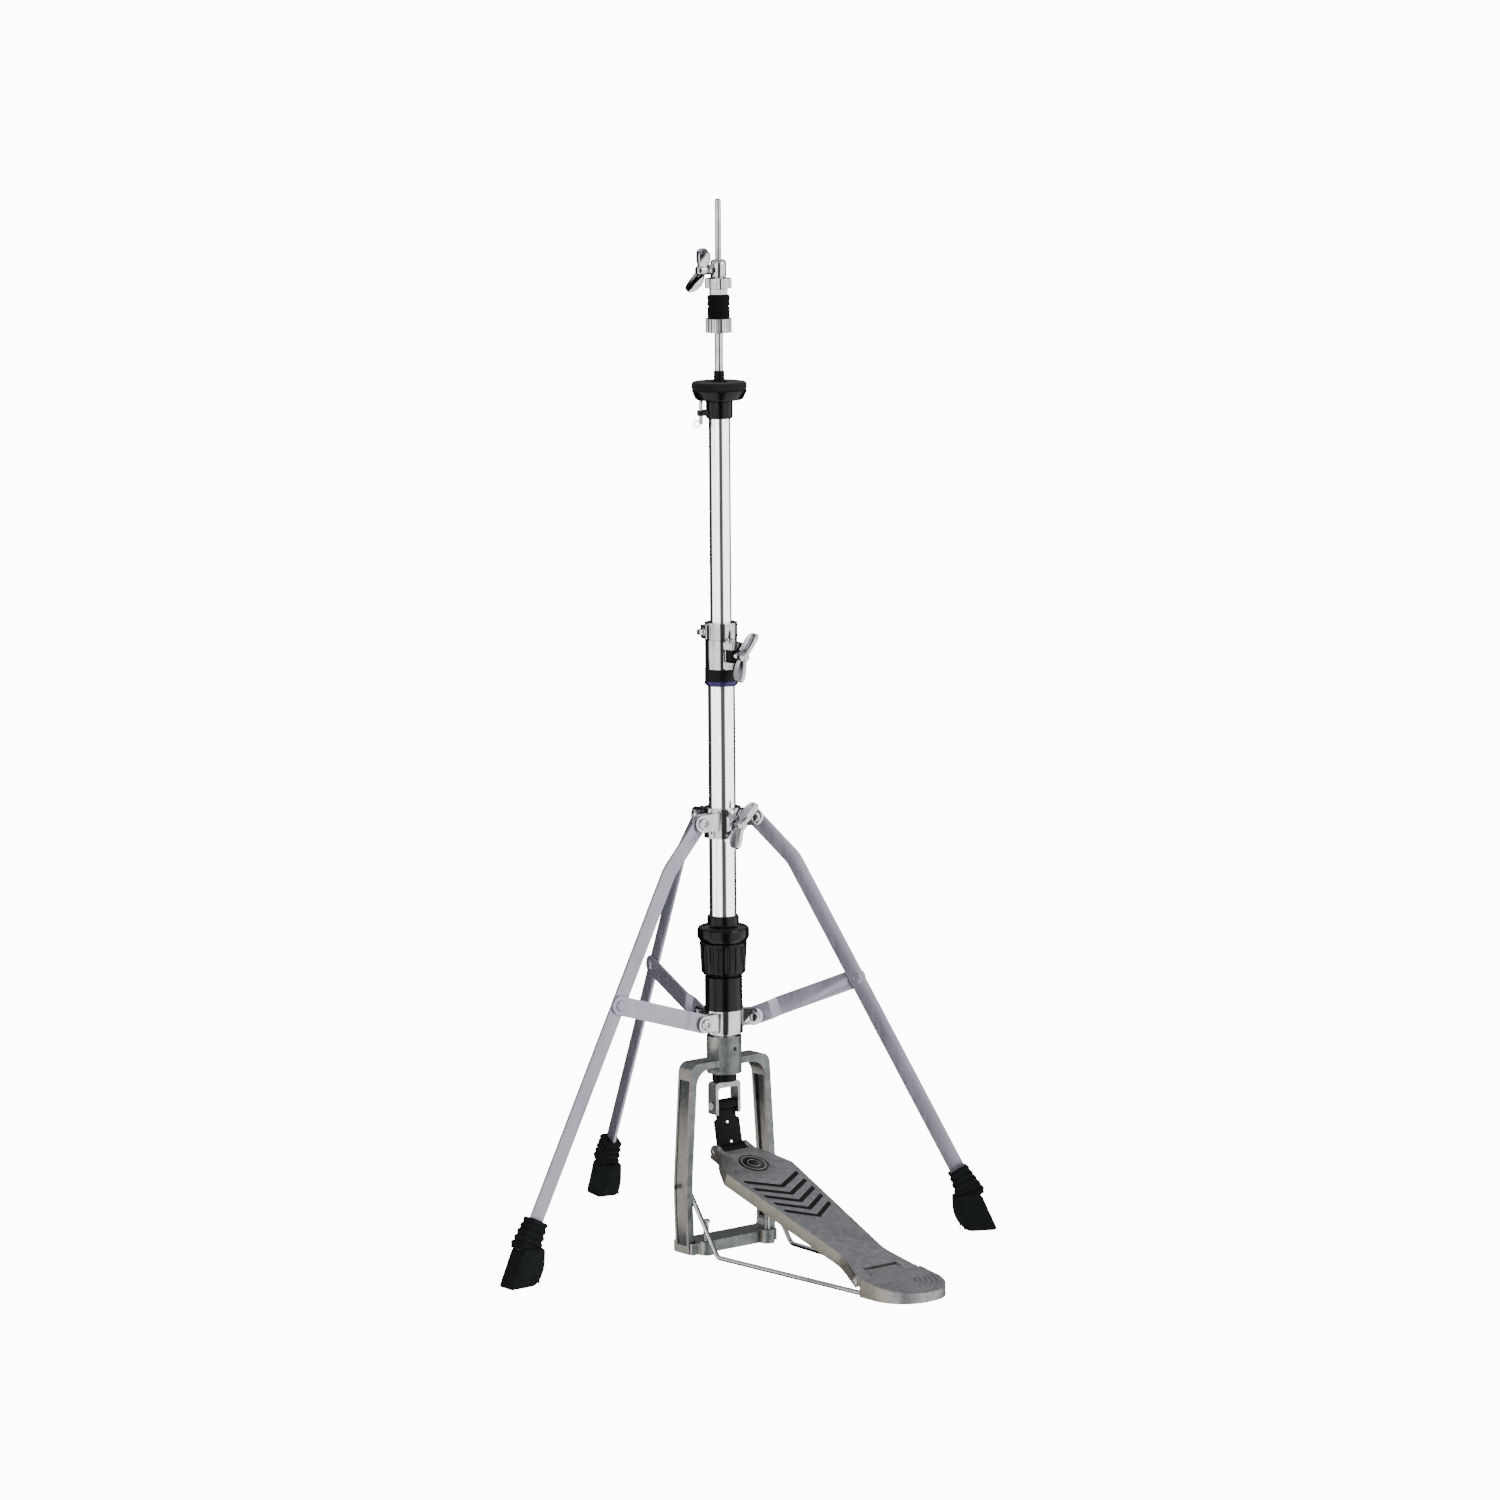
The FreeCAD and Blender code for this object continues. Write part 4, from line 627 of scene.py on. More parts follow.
TUBE_R = 12.7
MAST_R = 10.0
ROD_R = 4.0
finish_piece(tube("lower_tube", 2.0, TUBE_R), "outer_tube", chrome, "stand", "chrome",
             "lower_tube")
finish_piece(tube("upper_tube", 1.5, MAST_R), "inner_tube", chrome, "mast", "chrome",
             "upper_tube")
bottom, top = levels("lower_pull_rod")
finish_piece(turned([(0, bottom), (ROD_R, bottom), (ROD_R, top), (0, top)], 48, False, 0.4),
             "thick_rod", bright_plate, "pull_rod", "chrome", "lower_pull_rod")
bottom, top = levels("upper_pull_rod")
mark = levels("clutch_barrel")[1] + 1.2
finish_piece(turned([(0, bottom), (3.0, bottom), (3.0, mark), (2.7, mark + 0.2),
                     (2.7, mark + 0.6), (3.0, mark + 0.8), (3.0, top - 2.0), (2.2, top - 0.7),
                     (0, top)], 48, False, 0.12),
             "thin_rod", bright_plate, "pull_rod", "steel", "upper_pull_rod")

# %% [markdown]
# ## Spring housing
# Three mouldings share the tube: a domed head, a fluted knob and a plain sleeve. The head
# and the sleeve are spun. The knob keeps the shape that the CAD gave its flutes, and only
# its edges are softened, because a moulding has no sharp edge anywhere.

# %% Housing, knob and sleeve
bottom, top = levels("spring_housing")
head_r = radius_of("spring_housing")
finish_piece(turned([(TUBE_R, bottom), (head_r - 2.2, bottom), (head_r, bottom + 4.0),
                     (head_r, top - 13.5), (head_r - 1.2, top - 10.9), (head_r - 3.6, top - 10.0),
                     (16.6, top - 9.4), (14.9, top - 8.5), (14.9, top - 1.0), (13.9, top),
                     (TUBE_R, top)], rounding=0.7),
             "housing_head", gloss_black, "stand", "black", "spring_housing")
finish_copy("tension_knob", "fluted_knob", gloss_black, "knob", "black", 0.5)
bottom, top = levels("housing_sleeve")
sleeve_r = radius_of("housing_sleeve")
finish_piece(turned([(TUBE_R, bottom), (sleeve_r, bottom), (sleeve_r, bottom + 2.0),
                     (sleeve_r - 0.7, bottom + 4.5), (sleeve_r - 0.7, top), (TUBE_R, top)],
                    rounding=0.4),
             "plain_sleeve", gloss_black, "stand", "black", "housing_sleeve")

# %% [markdown]
# ## Height clamp
# A violet ring, a black bush and a chrome collar with two lugs that hold a square nut.
# The collar's outline is the CAD's, and its edges get a narrow bevel: on chrome a bevel
# of half a millimetre is what draws the bright line round a part.

# %% Height clamp and memory lock
bottom, top = levels("clamp_trim_ring")
ring_r = radius_of("clamp_trim_ring")
finish_piece(turned([(TUBE_R, bottom), (ring_r - 1.6, bottom), (ring_r, bottom + 1.8),
                     (ring_r - 0.4, top), (TUBE_R, top)], rounding=0.5),
             "violet_ring", violet, "stand", "violet", "clamp_trim_ring")
finish_copy("clamp_bushing", "clamp_bush", matt_nylon, "stand", "nylon", 0.3)
finish_copy("clamp_body", "clamp_collar", bright_plate, "stand", "chrome", 0.6)
finish_copy("clamp_nut", "clamp_square_nut", matt_nylon, "stand", "chrome", 0.5)
finish_copy("memory_lock", "lock_collar", bright_plate, "lock", "chrome", 0.6)
finish_copy("memory_lock_bolt", "lock_key_bolt", bright_plate, "lock", "chrome", 0.4)

# %% [markdown]
# ## Cymbal seat
# Cap, bush, cup and felt. Felt is the odd one out: it has no edge at all. Its profile is
# spun with many steps, cut into fine faces, and every point is then pushed a little along
# its own normal by noise, so that even the outline is woolly.

# %% Felt helper
def fuzz(bm, depth, fineness=0.9):
    """Pushes every point along its normal by noise, in millimetres."""
    bm.normal_update()
    for point in bm.verts:
        lift = noise.fractal(point.co * fineness, 1.0, 2.0, 4)
        point.co += point.normal * lift * depth
    return bm


def felt_ring(profile, depth):
    """A spun felt ring with a woolly surface."""
    bm = turned(profile, steps=72, rounding=0.9)
    long_edges = [e for e in bm.edges if e.calc_length() > 1.5]
    bmesh.ops.subdivide_edges(bm, edges=long_edges, cuts=3, use_grid_fill=True)
    return fuzz(bm, depth)


print("felt helper ready")

# %% Cymbal seat
finish_copy("seat_sleeve_cap", "mast_cap", gloss_black, "mast", "black", 0.35)
bottom, top = levels("seat_bushing")
finish_piece(turned([(ROD_R + 0.1, bottom), (5.0, bottom), (5.0, top - 1.0), (4.5, top),
                     (ROD_R + 0.1, top)], 48, rounding=0.2),
             "guide_bush", matt_nylon, "mast", "nylon", "seat_bushing")
bottom = levels("seat_felt")[0] - 9.2
cup_top = levels("seat_felt")[0]
cup_r = radius_of("seat_cup")
finish_piece(turned([(7.5, bottom), (cup_r - 4.2, bottom), (cup_r - 3.0, bottom + 1.5),
                     (cup_r - 0.6, cup_top - 2.4), (cup_r, cup_top - 0.6), (cup_r - 0.4, cup_top),
                     (7.5, cup_top)], rounding=0.5),
             "moulded_cup", gloss_black, "seat", "black", "seat_cup")
bottom, top = levels("seat_felt")
finish_piece(felt_ring([(7.6, bottom + 0.05), (cup_r - 0.6, bottom + 0.05), (cup_r, bottom + 2.0),
                        (cup_r, top - 2.0), (cup_r - 0.9, top - 0.3), (7.6, top - 0.3)], 0.22),
             "seat_felt_ring", seat_felt, "seat", "seat_felt", "seat_felt", smooth=70)
finish_copy("tilt_screw", "tilt_key_screw", bright_plate, "tilt", "chrome", 0.2)

# %% [markdown]
# ## Clutch
# From the bottom: a knurled nut, two thick felts, a thin nut, a lobed nut and the barrel.
# The knurl is cut by drawing every second point of a fine circle inwards before the
# outline is pushed up, which is how a knurling wheel leaves a row of ridges.

# %% Clutch
def knurled(radius, bore, bottom, top, ridges, depth):
    """A nut whose side is a ring of fine upright ridges."""
    bm = bmesh.new()
    rim = bmesh.ops.create_circle(bm, segments=ridges * 4, radius=radius)["verts"]
    for index, point in enumerate(rim):
        if index % 4 == 0:
            point.co.xy *= (radius - depth) / radius
    hole = bmesh.ops.create_circle(bm, segments=ridges * 4, radius=bore)["verts"]
    bmesh.ops.bridge_loops(bm, edges=[e for p in (rim[0], hole[0]) for e in ring_of(p)])
    bmesh.ops.translate(bm, vec=(0, 0, bottom), verts=bm.verts)
    return soften(thicken(bm, top - bottom), 0.25, 1, 60.0)


def ring_of(point):
    """Every edge of the loop that a point is on."""
    edges = set(point.link_edges)
    while True:
        more = {e for edge in edges for v in edge.verts for e in v.link_edges} | edges
        if len(more) == len(edges):
            return edges
        edges = more


bottom, top = levels("clutch_bottom_nut")
nut_r = radius_of("clutch_bottom_nut")
finish_piece(knurled(nut_r, 5.6, bottom, top, 30, 0.6), "knurled_nut", bright_plate, "clutch_nut",
             "chrome", "clutch_bottom_nut")
for node, name in (("clutch_felt_lower", "lower_felt"), ("clutch_felt_upper", "upper_felt")):
    bottom, top = levels(node)
    finish_piece(felt_ring([(5.4, bottom + 0.1), (9.9, bottom + 0.1), (10.5, bottom + 2.0),
                            (10.1, (bottom + top) / 2), (10.5, top - 2.0), (9.9, top - 0.1),
                            (5.4, top - 0.1)], 0.22),
                 name, felt, "clutch", "felt", node, smooth=70)
finish_copy("clutch_lock_nuts", "thin_and_lobed_nuts", bright_plate, "clutch_locks", "chrome", 0.5)
finish_copy("clutch_barrel", "barrel", bright_plate, "clutch", "chrome", 0.4)

# %% [markdown]
# ## Wing bolts
# One pattern makes all three. A wing is a flat leaf: an outline pushed to its thickness,
# then its two broad faces are inset and sunk, which leaves the raised rim that fingers
# press on. The shank has a stack of ridges for its thread, and the boss is a spun dome.

# %% Wing bolts
def ridged_shank(radius, length, pitch=1.0):
    """A threaded shank along Z, as a stack of fine ridges."""
    profile = [(0, 0), (radius - 0.5, 0)]
    height = pitch / 2
    while height < length - pitch:
        profile += [(radius, height), (radius - 0.45, height + pitch / 2)]
        height += pitch
    return turned(profile + [(radius - 0.45, length), (0, length)], 32, False)


def wing(side):
    """One leaf-shaped wing in the XZ plane, with a sunk face and a rim."""
    leaf = plate([(side * 2.0, 2.0, 0), (side * 11.0, 0.6, 3.0), (side * 20.5, 2.6, 5.0),
                  (side * 24.4, 10.0, 4.5), (side * 22.6, 16.6, 4.0), (side * 13.0, 14.6, 5.0),
                  (side * 2.0, 9.5, 0)], -2.0, 2.0)
    leaf.faces.ensure_lookup_table()
    broad = [f for f in leaf.faces if abs(f.normal.z) > 0.9]
    bmesh.ops.inset_individual(leaf, faces=broad, thickness=1.7, depth=0.0,
                               use_even_offset=True)
    for face in broad:
        bmesh.ops.translate(leaf, vec=-face.normal * 0.8, verts=face.verts)
    return upright(soften(leaf, 0.45, 2, 25.0))


def wing_bolt(tip, boss, height, spin, azimuth):
    """A wing bolt pointing outwards at an azimuth; tip and boss are radii."""
    shank = move(ridged_shank(2.95, boss - tip + 0.5), z=tip)
    cone = turned([(0, boss), (3.6, boss), (5.0, boss + 2.0), (5.0, boss + 7.5),
                   (3.4, boss + 10.6), (0, boss + 11.0)], 48, False, 0.7)
    wings = move(joined(wing(1), wing(-1)), z=boss - 0.4)
    bolt = joined(shank, cone, wings)
    turn(bolt, spin, "Z")
    turn(bolt, 90.0, "Y")
    return move(swing(bolt, azimuth), z=height)


HUB_SPIN, CLAMP_SPIN, CLUTCH_SPIN = -32.0, -24.0, -32.0
finish_piece(wing_bolt(13.0, 22.0, pivot("hub_wing_turn").z, HUB_SPIN, -90.0),
             "hub_wing", bright_plate, "hub_wing", "chrome", "hub_wing_bolt")
finish_piece(wing_bolt(12.8, 27.0, pivot("clamp_wing_turn").z, CLAMP_SPIN, -90.0),
             "clamp_wing", bright_plate, "clamp_wing", "chrome", "clamp_wing_bolt")
finish_piece(wing_bolt(3.3, 12.5, pivot("clutch_wing_turn").z, CLUTCH_SPIN, 171.0),
             "clutch_wing", bright_plate, "clutch_wing", "chrome", "clutch_wing_screw")

# %% [markdown]
# ## Tripod
# A leg is a flat bar with one bend. Its outline is a strip with a mitred knee, and the
# bend is rounded as a press would leave it. The long edges get a narrow bevel, which
# catches the light down the whole leg.

# %% Bars, studs and bolts
def bent_outline(path, width, round_start, knee_reach):
    """Outline of a strip along a path of two or three points in a plane."""
    points = [Vector(p) for p in path]
    runs = [(b - a).normalized() for a, b in zip(points, points[1:])]
    sides = [Vector((-run.y, run.x)) for run in runs]
    half = width / 2
    first = points[0] - runs[0] * half if round_start else points[0]
    left = [(*(first + sides[0] * half), half * 0.96 if round_start else 0)]
    right = [(*(first - sides[0] * half), half * 0.96 if round_start else 0)]
    if len(points) == 3:
        mitre = (sides[0] + sides[1]).normalized()
        mitre *= half / mitre.dot(sides[0])
        left.append((*(points[1] + mitre), knee_reach))
        right.append((*(points[1] - mitre), knee_reach))
    left.append((*(points[-1] + sides[-1] * half), 0.5))
    right.append((*(points[-1] - sides[-1] * half), 0.5))
    return left + right[::-1]


def stud(radius, height, dimple=0.0):
    """A low domed head along Z, with a dimple for the tool."""
    profile = [(0, 0), (radius, 0), (radius, height * 0.35), (radius * 0.86, height * 0.8),
               (radius * 0.55, height)]
    if dimple > 0:
        profile += [(dimple, height), (dimple * 0.8, height * 0.35), (0, height * 0.3)]
    else:
        profile.append((0, height))
    return turned(profile, 40, False, 0.25)


def across(bm, outwards, sideways, up, facing=1):
    """Points a Z-up piece along the plane's normal and puts it at a pivot."""
    turn(bm, -90.0 * facing, "X")
    return move(bm, outwards, sideways, up)


LEG_WIDTH, LEG_THICK = 15.0, 3.0
BRACE_THICK = 2.5
LEG_PLANE = in_leg_plane("leg_right_fold", "right").y
EAR_GAP, EAR_THICK = 0.3, 2.5
STAY_RIVET_Z = 247.0
KNEE = (69.0, 364.5)
FOOT_ENTRY = Vector((226.0, 59.0))
SLOPE = math.atan2(FOOT_ENTRY.x - KNEE[0], KNEE[1] - FOOT_ENTRY.y)
DOWN_LEG = Vector((math.sin(SLOPE), -math.cos(SLOPE)))
print("legs lean", round(math.degrees(SLOPE), 1), "degrees below the bend")

# %% [markdown]
# Each leg is built in its own plane, with the inner end of its stay's rivet, and swung
# into place. The stay itself comes from the CAD with its edges softened.

# %% Legs
for side in SIDES:
    joint = in_leg_plane("leg_" + side + "_fold", side)
    end = FOOT_ENTRY + DOWN_LEG * 40.0
    outline = bent_outline([(joint.x, joint.z), KNEE, end], LEG_WIDTH, True, 5.0)
    bar = plate(outline, -LEG_PLANE - LEG_THICK / 2, -LEG_PLANE + LEG_THICK / 2)
    bar = upright(soften(bar, 0.6, 2, 50.0))
    rivet_r = KNEE[0] + (KNEE[1] - STAY_RIVET_Z) * math.tan(SLOPE)
    inner = across(stud(5.0, 1.6), rivet_r, LEG_PLANE - LEG_THICK / 2, STAY_RIVET_Z, -1)
    finish_piece(swing(joined(bar, inner), AZIMUTHS[side]), "bent_leg_" + side, zinc,
                 "leg_" + side, "zinc", "leg_" + side)
    face = LEG_PLANE + LEG_THICK / 2 + EAR_GAP + BRACE_THICK
    head = across(stud(5.0, 2.0), rivet_r, face, STAY_RIVET_Z)
    finish_piece(swing(head, AZIMUTHS[side]), "stay_rivet_" + side, zinc, "brace_" + side,
                 "zinc", "brace_rivet_" + side)
    finish_piece(swing(soften(turn(copied("brace_" + side), -AZIMUTHS[side], "Z"), 0.5),
                       AZIMUTHS[side]),
                 "stay_" + side, zinc, "brace_" + side, "zinc", "brace_" + side)

# %% [markdown]
# The hubs are pressed bands with ears. Each bolt has a domed head with a dark dimple on
# one side and a plain nut on the other.

# %% Hubs and their bolts
def pivot_bolts(joint_prefix, thick):
    """The three cross bolts of a hub."""
    bolts = []
    for side in SIDES:
        at = in_leg_plane(joint_prefix + side + "_fold", side)
        out = thick / 2 + EAR_GAP + EAR_THICK
        head = across(stud(5.3, 2.8, 2.2), at.x, at.y + out, at.z)
        shank = across(turned([(0, -out - 2.2), (2.95, -out - 2.2), (2.95, out), (0, out)], 24,
                              False), at.x, at.y, at.z)
        nut = across(stud(4.7, 2.4), at.x, at.y - out, at.z, -1)
        bolts.append(swing(joined(head, shank, nut), AZIMUTHS[side]))
    return joined(*bolts)


finish_copy("upper_hub", "sliding_hub", bright_plate, "hub", "chrome", 0.35)
finish_copy("lower_hub", "fixed_hub", bright_plate, "stand", "chrome", 0.35)
finish_piece(pivot_bolts("leg_", LEG_THICK), "leg_pivot_bolts", bright_plate, "hub", "chrome",
             "leg_bolts")
finish_piece(pivot_bolts("brace_", BRACE_THICK), "stay_pivot_bolts", bright_plate, "stand",
             "chrome", "brace_bolts")

# %% [markdown]
# A foot is a rubber boot pulled over the bar: a ribbed collar that grips, and a slanted
# toe with short raised ribs along its lower edge. The collar's ribs are separate rounded
# plates across the bar, which is quicker than cutting grooves and leaves soft edges.

# %% Rubber feet
COLLAR_WIDTH, BOOT_WIDTH = 17.0, 19.5
RIBS, RIB_PITCH, RIB_START = 5, 6.1, 1.8
RIB_HALF, RIB_GROWTH, RIB_THICK = 9.9, 0.9, 4.6
TEETH, TOOTH_PITCH = 9, 3.4


def box_outline(half_x, half_y, reach):
    """Outline of a rectangle with rounded corners."""
    return [(-half_x, -half_y, reach), (half_x, -half_y, reach), (half_x, half_y, reach),
            (-half_x, half_y, reach)]


def down_the_leg(bm, distance):
    """Leans a piece with the leg and puts it a distance below the collar's mouth."""
    turn(bm, -math.degrees(SLOPE), "Y")
    place = FOOT_ENTRY + DOWN_LEG * distance
    return move(bm, place.x, LEG_PLANE, place.y)


def boot():
    """One foot in the plane of its leg."""
    r, z = FOOT_ENTRY
    toe = plate([(r - 4.0, z - 25.0, 2.5), (r - 3.0, z - 45.0, 7.0), (r + 6.0, 0.0, 6.0),
                 (r + 37.2, 0.0, 4.0), (r + 20.5, z - 22.0, 5.0)],
                -LEG_PLANE - BOOT_WIDTH / 2, -LEG_PLANE + BOOT_WIDTH / 2)
    neck = plate([(-12.0, -17.0, 1.0), (12.0, -17.0, 1.0), (8.6, 13.0, 1.0), (-8.6, 13.0, 1.0)],
                 -COLLAR_WIDTH / 2 + 1.3, COLLAR_WIDTH / 2 - 1.3)
    parts = [upright(soften(toe, 2.8, 4, 50.0)),
             down_the_leg(upright(soften(neck, 1.2, 3, 50.0)), 14.0)]
    for index in range(RIBS):
        rib = plate(box_outline(RIB_HALF + RIB_GROWTH * index, COLLAR_WIDTH / 2, 3.0),
                    -RIB_THICK / 2, RIB_THICK / 2)
        parts.append(down_the_leg(soften(rib, 2.0, 4, 50.0), RIB_START + RIB_PITCH * index))
    for index in range(TEETH):
        for face in (-1, 1):
            tooth = upright(soften(plate(box_outline(0.8, 3.6, 0.5), -0.7, 0.7), 0.4, 2, 50.0))
            parts.append(move(tooth, r + 4.5 + TOOTH_PITCH * index,
                              LEG_PLANE + face * (BOOT_WIDTH / 2 - 0.4), 5.6))
    return joined(*parts)


for side in SIDES:
    finish_piece(swing(boot(), AZIMUTHS[side]), "rubber_boot_" + side, rubber, "leg_" + side,
                 "rubber", "foot_" + side)

# %% [markdown]
# ## Pedal
# The castings keep the CAD's shapes. A sand casting has a draft and a radius on every
# outer edge, so each copy is merged, its flat faces made whole, and its outer edges
# rounded by a millimetre or so.

# %% Castings
finish_copy("pedal_frame", "cast_frame", frame_metal, "stand", "cast", 1.0, 3)
finish_copy("footboard", "cast_footboard", board_metal, "treadle", "cast", 0.7)
finish_copy("heel_plate", "cast_heel", board_metal, "stand", "cast", 0.7)
finish_copy("heel_pad", "ribbed_heel_mat", heel_mat, "stand", "rubber", 0.3, 1)
finish_copy("clevis", "yoke", clevis_metal, "pull_rod", "cast", 0.8, 3)
finish_copy("rod_guide_bush", "guide_under_socket", matt_nylon, "stand", "nylon", 0.5)

# %% [markdown]
# The five chevrons are strips of black rubber set into the board's grooves, and a plain
# dark disc with two bright rings sits at the neck. Both are flat outlines in the plane of
# the board, which leans up from the heel hinge to the toe pin.

# %% Grips and badge
HEEL_HINGE = pivot("footboard_press")
TOE_PIN = (corners_of("toe_pin")[0] + corners_of("toe_pin")[1]) / 2
BOARD_RUN = Vector((0, TOE_PIN.y - HEEL_HINGE.y, TOE_PIN.z - HEEL_HINGE.z))
BOARD_LEAN = math.degrees(math.atan2(BOARD_RUN.z, BOARD_RUN.y))
BOARD_TOP = 5.0
GROOVES = 5
GROOVE_PITCH = 13.9
GRIP_EDGES = (-0.7, 4.6)
GRIP_RAKE = 17.2


def on_board(bm):
    """Lays a level shape on the leaning board."""
    turn(bm, BOARD_LEAN, "X")
    return move(bm, HEEL_HINGE.x, HEEL_HINGE.y, HEEL_HINGE.z)


def chevron(index):
    """One V-shaped strip of rubber, its point towards the heel."""
    point = 156.0 - index * GROOVE_PITCH
    half = 31.9 - index * 1.2
    rake = GRIP_RAKE
    low, high = GRIP_EDGES
    strip = plate([(0, point + low, 0), (half, point + rake + low, 1.5),
                   (half, point + rake + high, 1.5), (0, point + high, 0),
                   (-half, point + rake + high, 1.5), (-half, point + rake + low, 1.5)],
                  BOARD_TOP - 1.2, BOARD_TOP + 0.2)
    return on_board(soften(strip, 0.2, 2, 50.0))


finish_piece(joined(*[chevron(index) for index in range(GROOVES)]), "chevron_grips", rubber,
             "treadle", "rubber")


def disc(radius, low, high, s):
    """A flat disc on the board, s along from the hinge."""
    return on_board(move(turned([(0, low), (radius, low), (radius, high), (0, high)], 64, False,
                                0.1), y=s))


def band(outer, inner, low, high, s):
    """A flat ring on the board."""
    return on_board(move(turned([(inner, low), (outer, low), (outer, high), (inner, high)], 64,
                                rounding=0.1), y=s))


BADGE_AT = 202.0
finish_piece(disc(14.0, BOARD_TOP - 0.3, BOARD_TOP + 0.12, BADGE_AT), "badge_disc", gloss_black,
             "treadle", "black")
finish_piece(joined(band(12.2, 11.2, BOARD_TOP, BOARD_TOP + 0.3, BADGE_AT),
                    band(6.4, 5.6, BOARD_TOP, BOARD_TOP + 0.3, BADGE_AT)),
             "badge_rings", clevis_metal, "treadle", "cast")

# %% [markdown]
# The strap is coated cloth, sewn round a pin at each end. Two small bright rivets hold
# its folds.

# %% Strap
STRAP_TOP = pivot("strap_swing")
STRAP_RUN = TOE_PIN - STRAP_TOP
STRAP_LEAN = math.degrees(math.asin(STRAP_RUN.y / STRAP_RUN.length))
STRAP_WIDE, TONGUE_WIDE, STRAP_THICK, EYE_R = 29.0, 22.0, 3.6, 5.5


def eye(width, pin_r):
    """A rolled eye along X."""
    return turn(turned([(pin_r, -width / 2), (EYE_R, -width / 2), (EYE_R, width / 2),
                        (pin_r, width / 2)], 48, rounding=0.5), 90.0, "Y")


def on_strap(bm):
    """Leans a hanging shape to the strap's own line."""
    turn(bm, STRAP_LEAN, "X")
    return move(bm, STRAP_TOP.x, STRAP_TOP.y, STRAP_TOP.z)


length = STRAP_RUN.length
sheet = plate([(-TONGUE_WIDE / 2, -4.0, 0), (TONGUE_WIDE / 2, -4.0, 0),
               (TONGUE_WIDE / 2, -13.0, 1.0), (STRAP_WIDE / 2, -13.6, 1.5),
               (STRAP_WIDE / 2, -length + 4.0, 0), (-STRAP_WIDE / 2, -length + 4.0, 0),
               (-STRAP_WIDE / 2, -13.6, 1.5), (-TONGUE_WIDE / 2, -13.0, 1.0)],
              -STRAP_THICK / 2, STRAP_THICK / 2)
sheet = upright(soften(sheet, 0.6, 2, 50.0))
strap_parts = [sheet, eye(TONGUE_WIDE, 2.6), move(eye(STRAP_WIDE, 3.4), z=-length)]
finish_piece(on_strap(joined(*strap_parts)), "coated_strap", coated_cloth, "link", "strap",
             "strap")
rivets = [move(turn(stud(1.5, 0.7), 90.0, "X"), x, -STRAP_THICK / 2, z)
          for x, z in ((-1.0, -16.5), (1.0, -length + 7.5))]
finish_piece(on_strap(joined(*rivets)), "strap_rivets", chrome, "link", "steel")

# %% [markdown]
# The radius rod is one bent wire. A curve with a round bevel sweeps it, and its corners
# are rounded as bends, because a wire never turns sharply.

# %% Radius rod
WIRE_R = 2.3


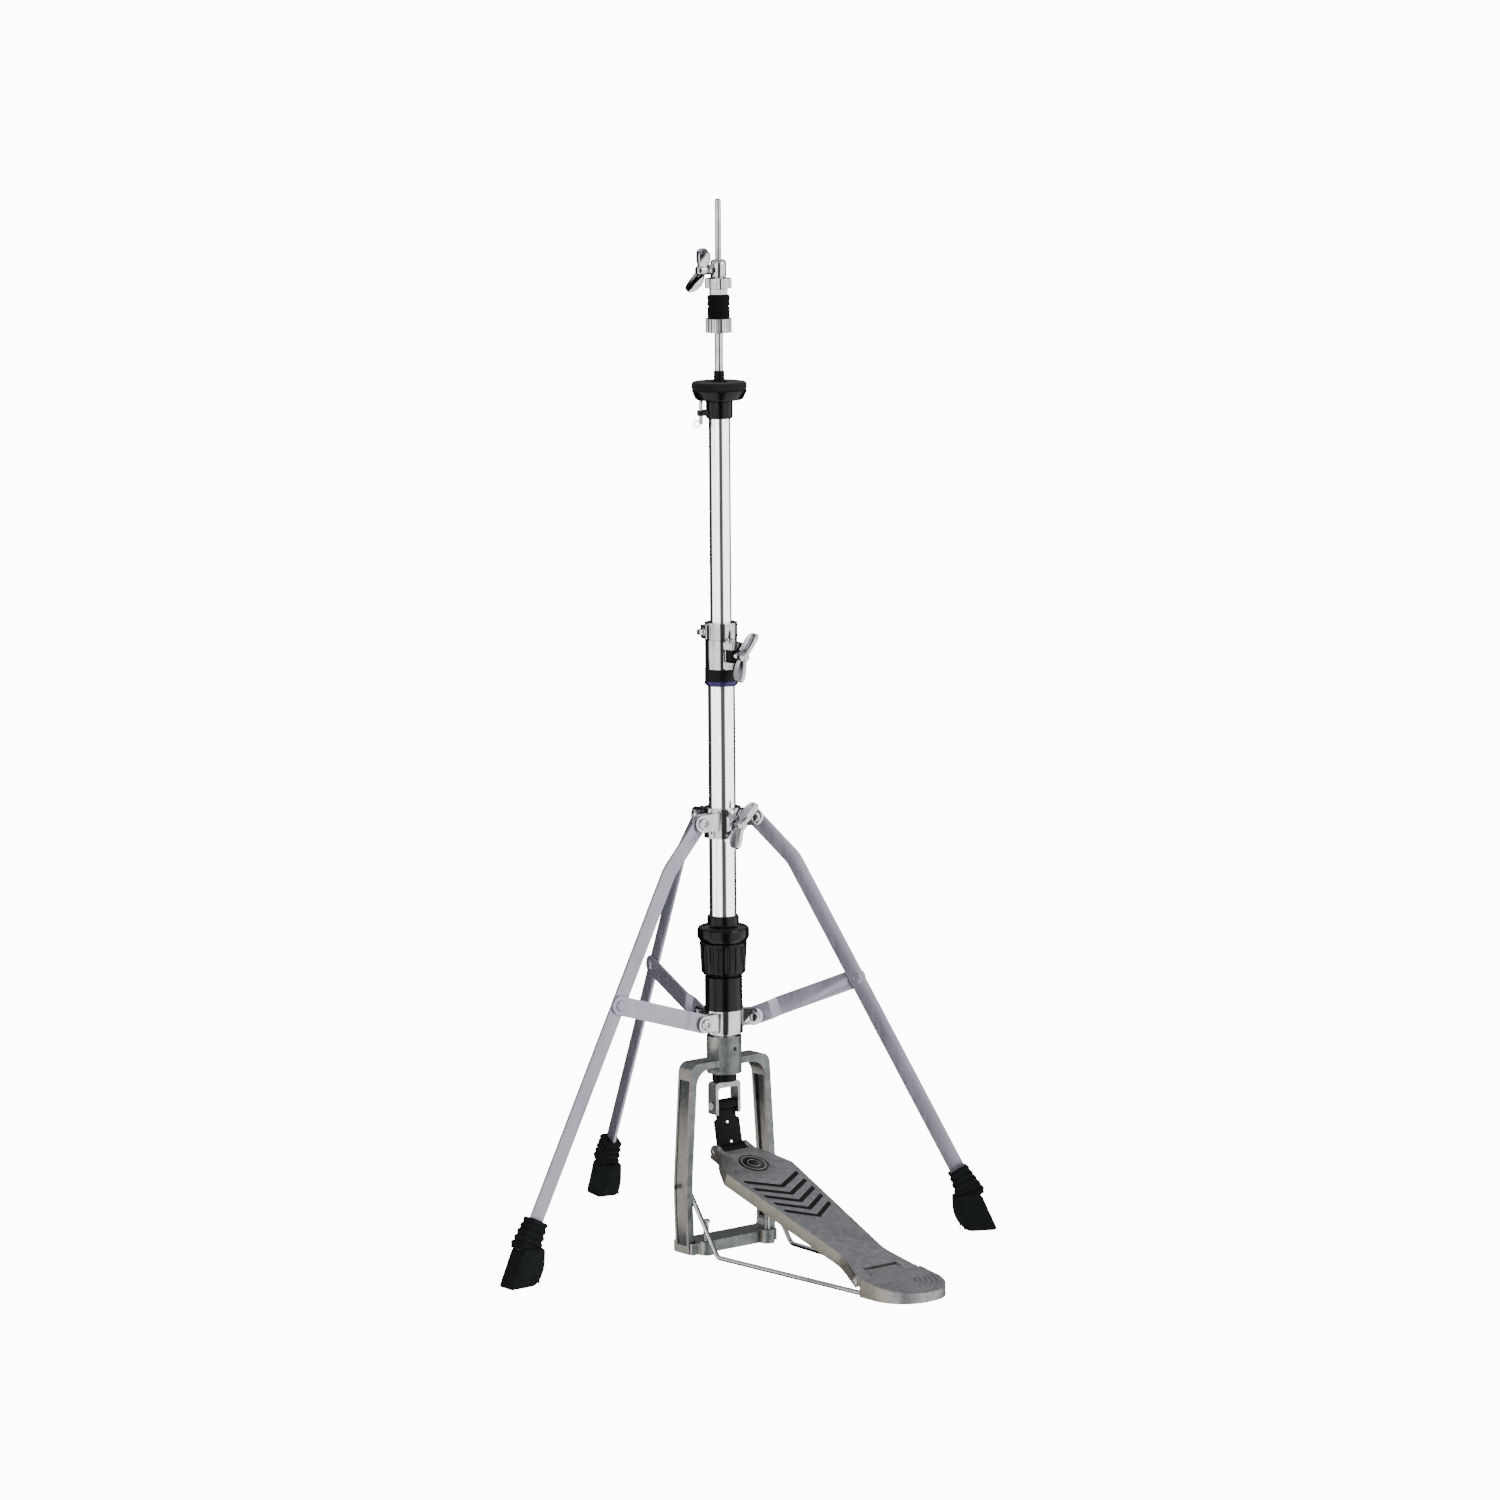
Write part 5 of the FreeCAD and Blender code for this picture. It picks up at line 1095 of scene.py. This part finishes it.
def wire(points, radius, bend):
    """A round wire along a path, with rounded bends, as a bmesh."""
    path = bmesh.new()
    places = [path.verts.new(p) for p in points]
    for a, b in zip(places, places[1:]):
        path.edges.new((a, b))
    bmesh.ops.bevel(path, geom=places[1:-1], offset=bend, offset_type="OFFSET", segments=6,
                    profile=0.5, affect="VERTICES", clamp_overlap=True, material=-1)
    line = [v for v in path.verts if len(v.link_edges) == 1]
    line.sort(key=lambda v: v.co.x)
    order = [line[0]]
    while order[-1] is not line[-1]:
        order.append(next(e.other_vert(order[-1]) for e in order[-1].link_edges
                          if e.other_vert(order[-1]) not in order[-2:]))
    data = bpy.data.curves.new("wire_path", "CURVE")
    data.dimensions = "3D"
    spline = data.splines.new("POLY")
    spline.points.add(len(order) - 1)
    for point, vert in zip(spline.points, order):
        point.co = (*vert.co, 1.0)
    path.free()
    data.bevel_depth = radius
    data.bevel_resolution = 6
    data.use_fill_caps = True
    carrier = bpy.data.objects.new("wire_path", data)
    mesh = bpy.data.meshes.new_from_object(carrier)
    bm = bmesh.new()
    bm.from_mesh(mesh)
    bpy.data.objects.remove(carrier)
    bpy.data.meshes.remove(mesh)
    bmesh.ops.remove_doubles(bm, verts=bm.verts, dist=0.0005)
    return bm


floor_gap = WIRE_R + 0.3
half_path = [(-58.0, 2.0, 64.0), (-44.4, 2.0, 64.0), (-44.4, -43.0, floor_gap),
             (-33.0, HEEL_HINGE.y - 6.0, floor_gap), (-33.0, -256.0, floor_gap)]
mirrored = [(-x, y, z) for x, y, z in reversed(half_path)]
finish_piece(wire(half_path + mirrored, WIRE_R, 4.0), "bent_radius_rod", bright_plate, "stand",
             "chrome", "radius_rod")

# %% [markdown]
# Two pointed screws bite into the carpet, and plain pins hold the joints. The screws get
# ridges for their threads and a low slotted head.

# %% Spur screws
for side, node in ((-1, "spur_screw_left"), (1, "spur_screw_right")):
    low, high = corners_of(node)
    middle = (low + high) / 2
    shank = move(ridged_shank(2.95, high.z - low.z - 8.0, 1.25), z=low.z + 4.5)
    point = turned([(0, low.z), (2.5, low.z + 4.6), (0, low.z + 4.6)], 32, False)
    head = turned([(0, high.z - 3.5), (4.0, high.z - 3.5), (4.0, high.z - 1.0),
                   (3.2, high.z), (0.7, high.z), (0.7, high.z - 1.0), (0, high.z - 1.0)], 40,
                  False, 0.2)
    screw = joined(shank, point, head)
    finish_piece(move(screw, middle.x, middle.y), "pointed_screw_" + node.split("_")[-1],
                 steel, node.replace("_screw", ""), "steel", node)

# %% [markdown]
# ## What is left
# Pins, the return spring and the tension parts are hidden or nearly so. They keep the
# CAD's own mesh and only take a finish, chosen by the material slot in the record.

# %% Finish the scene
finishes = {"chrome": chrome, "zinc": zinc, "steel": steel, "cast": frame_metal,
            "black": gloss_black, "nylon": matt_nylon, "violet": violet, "rubber": rubber,
            "felt": felt, "seat_felt": seat_felt, "strap": coated_cloth}
slot_of = {row["node"]: row["material_slot"] for row in frame["record"]["subparts"]}
left_over = [name for name, node in frame["nodes"].items() if not node.hide_render]
for name in left_over:
    node_mesh = frame["nodes"][name].data
    node_mesh.materials.clear()
    node_mesh.materials.append(finishes[slot_of[name]])
print("CAD nodes shown as they are:", left_over)
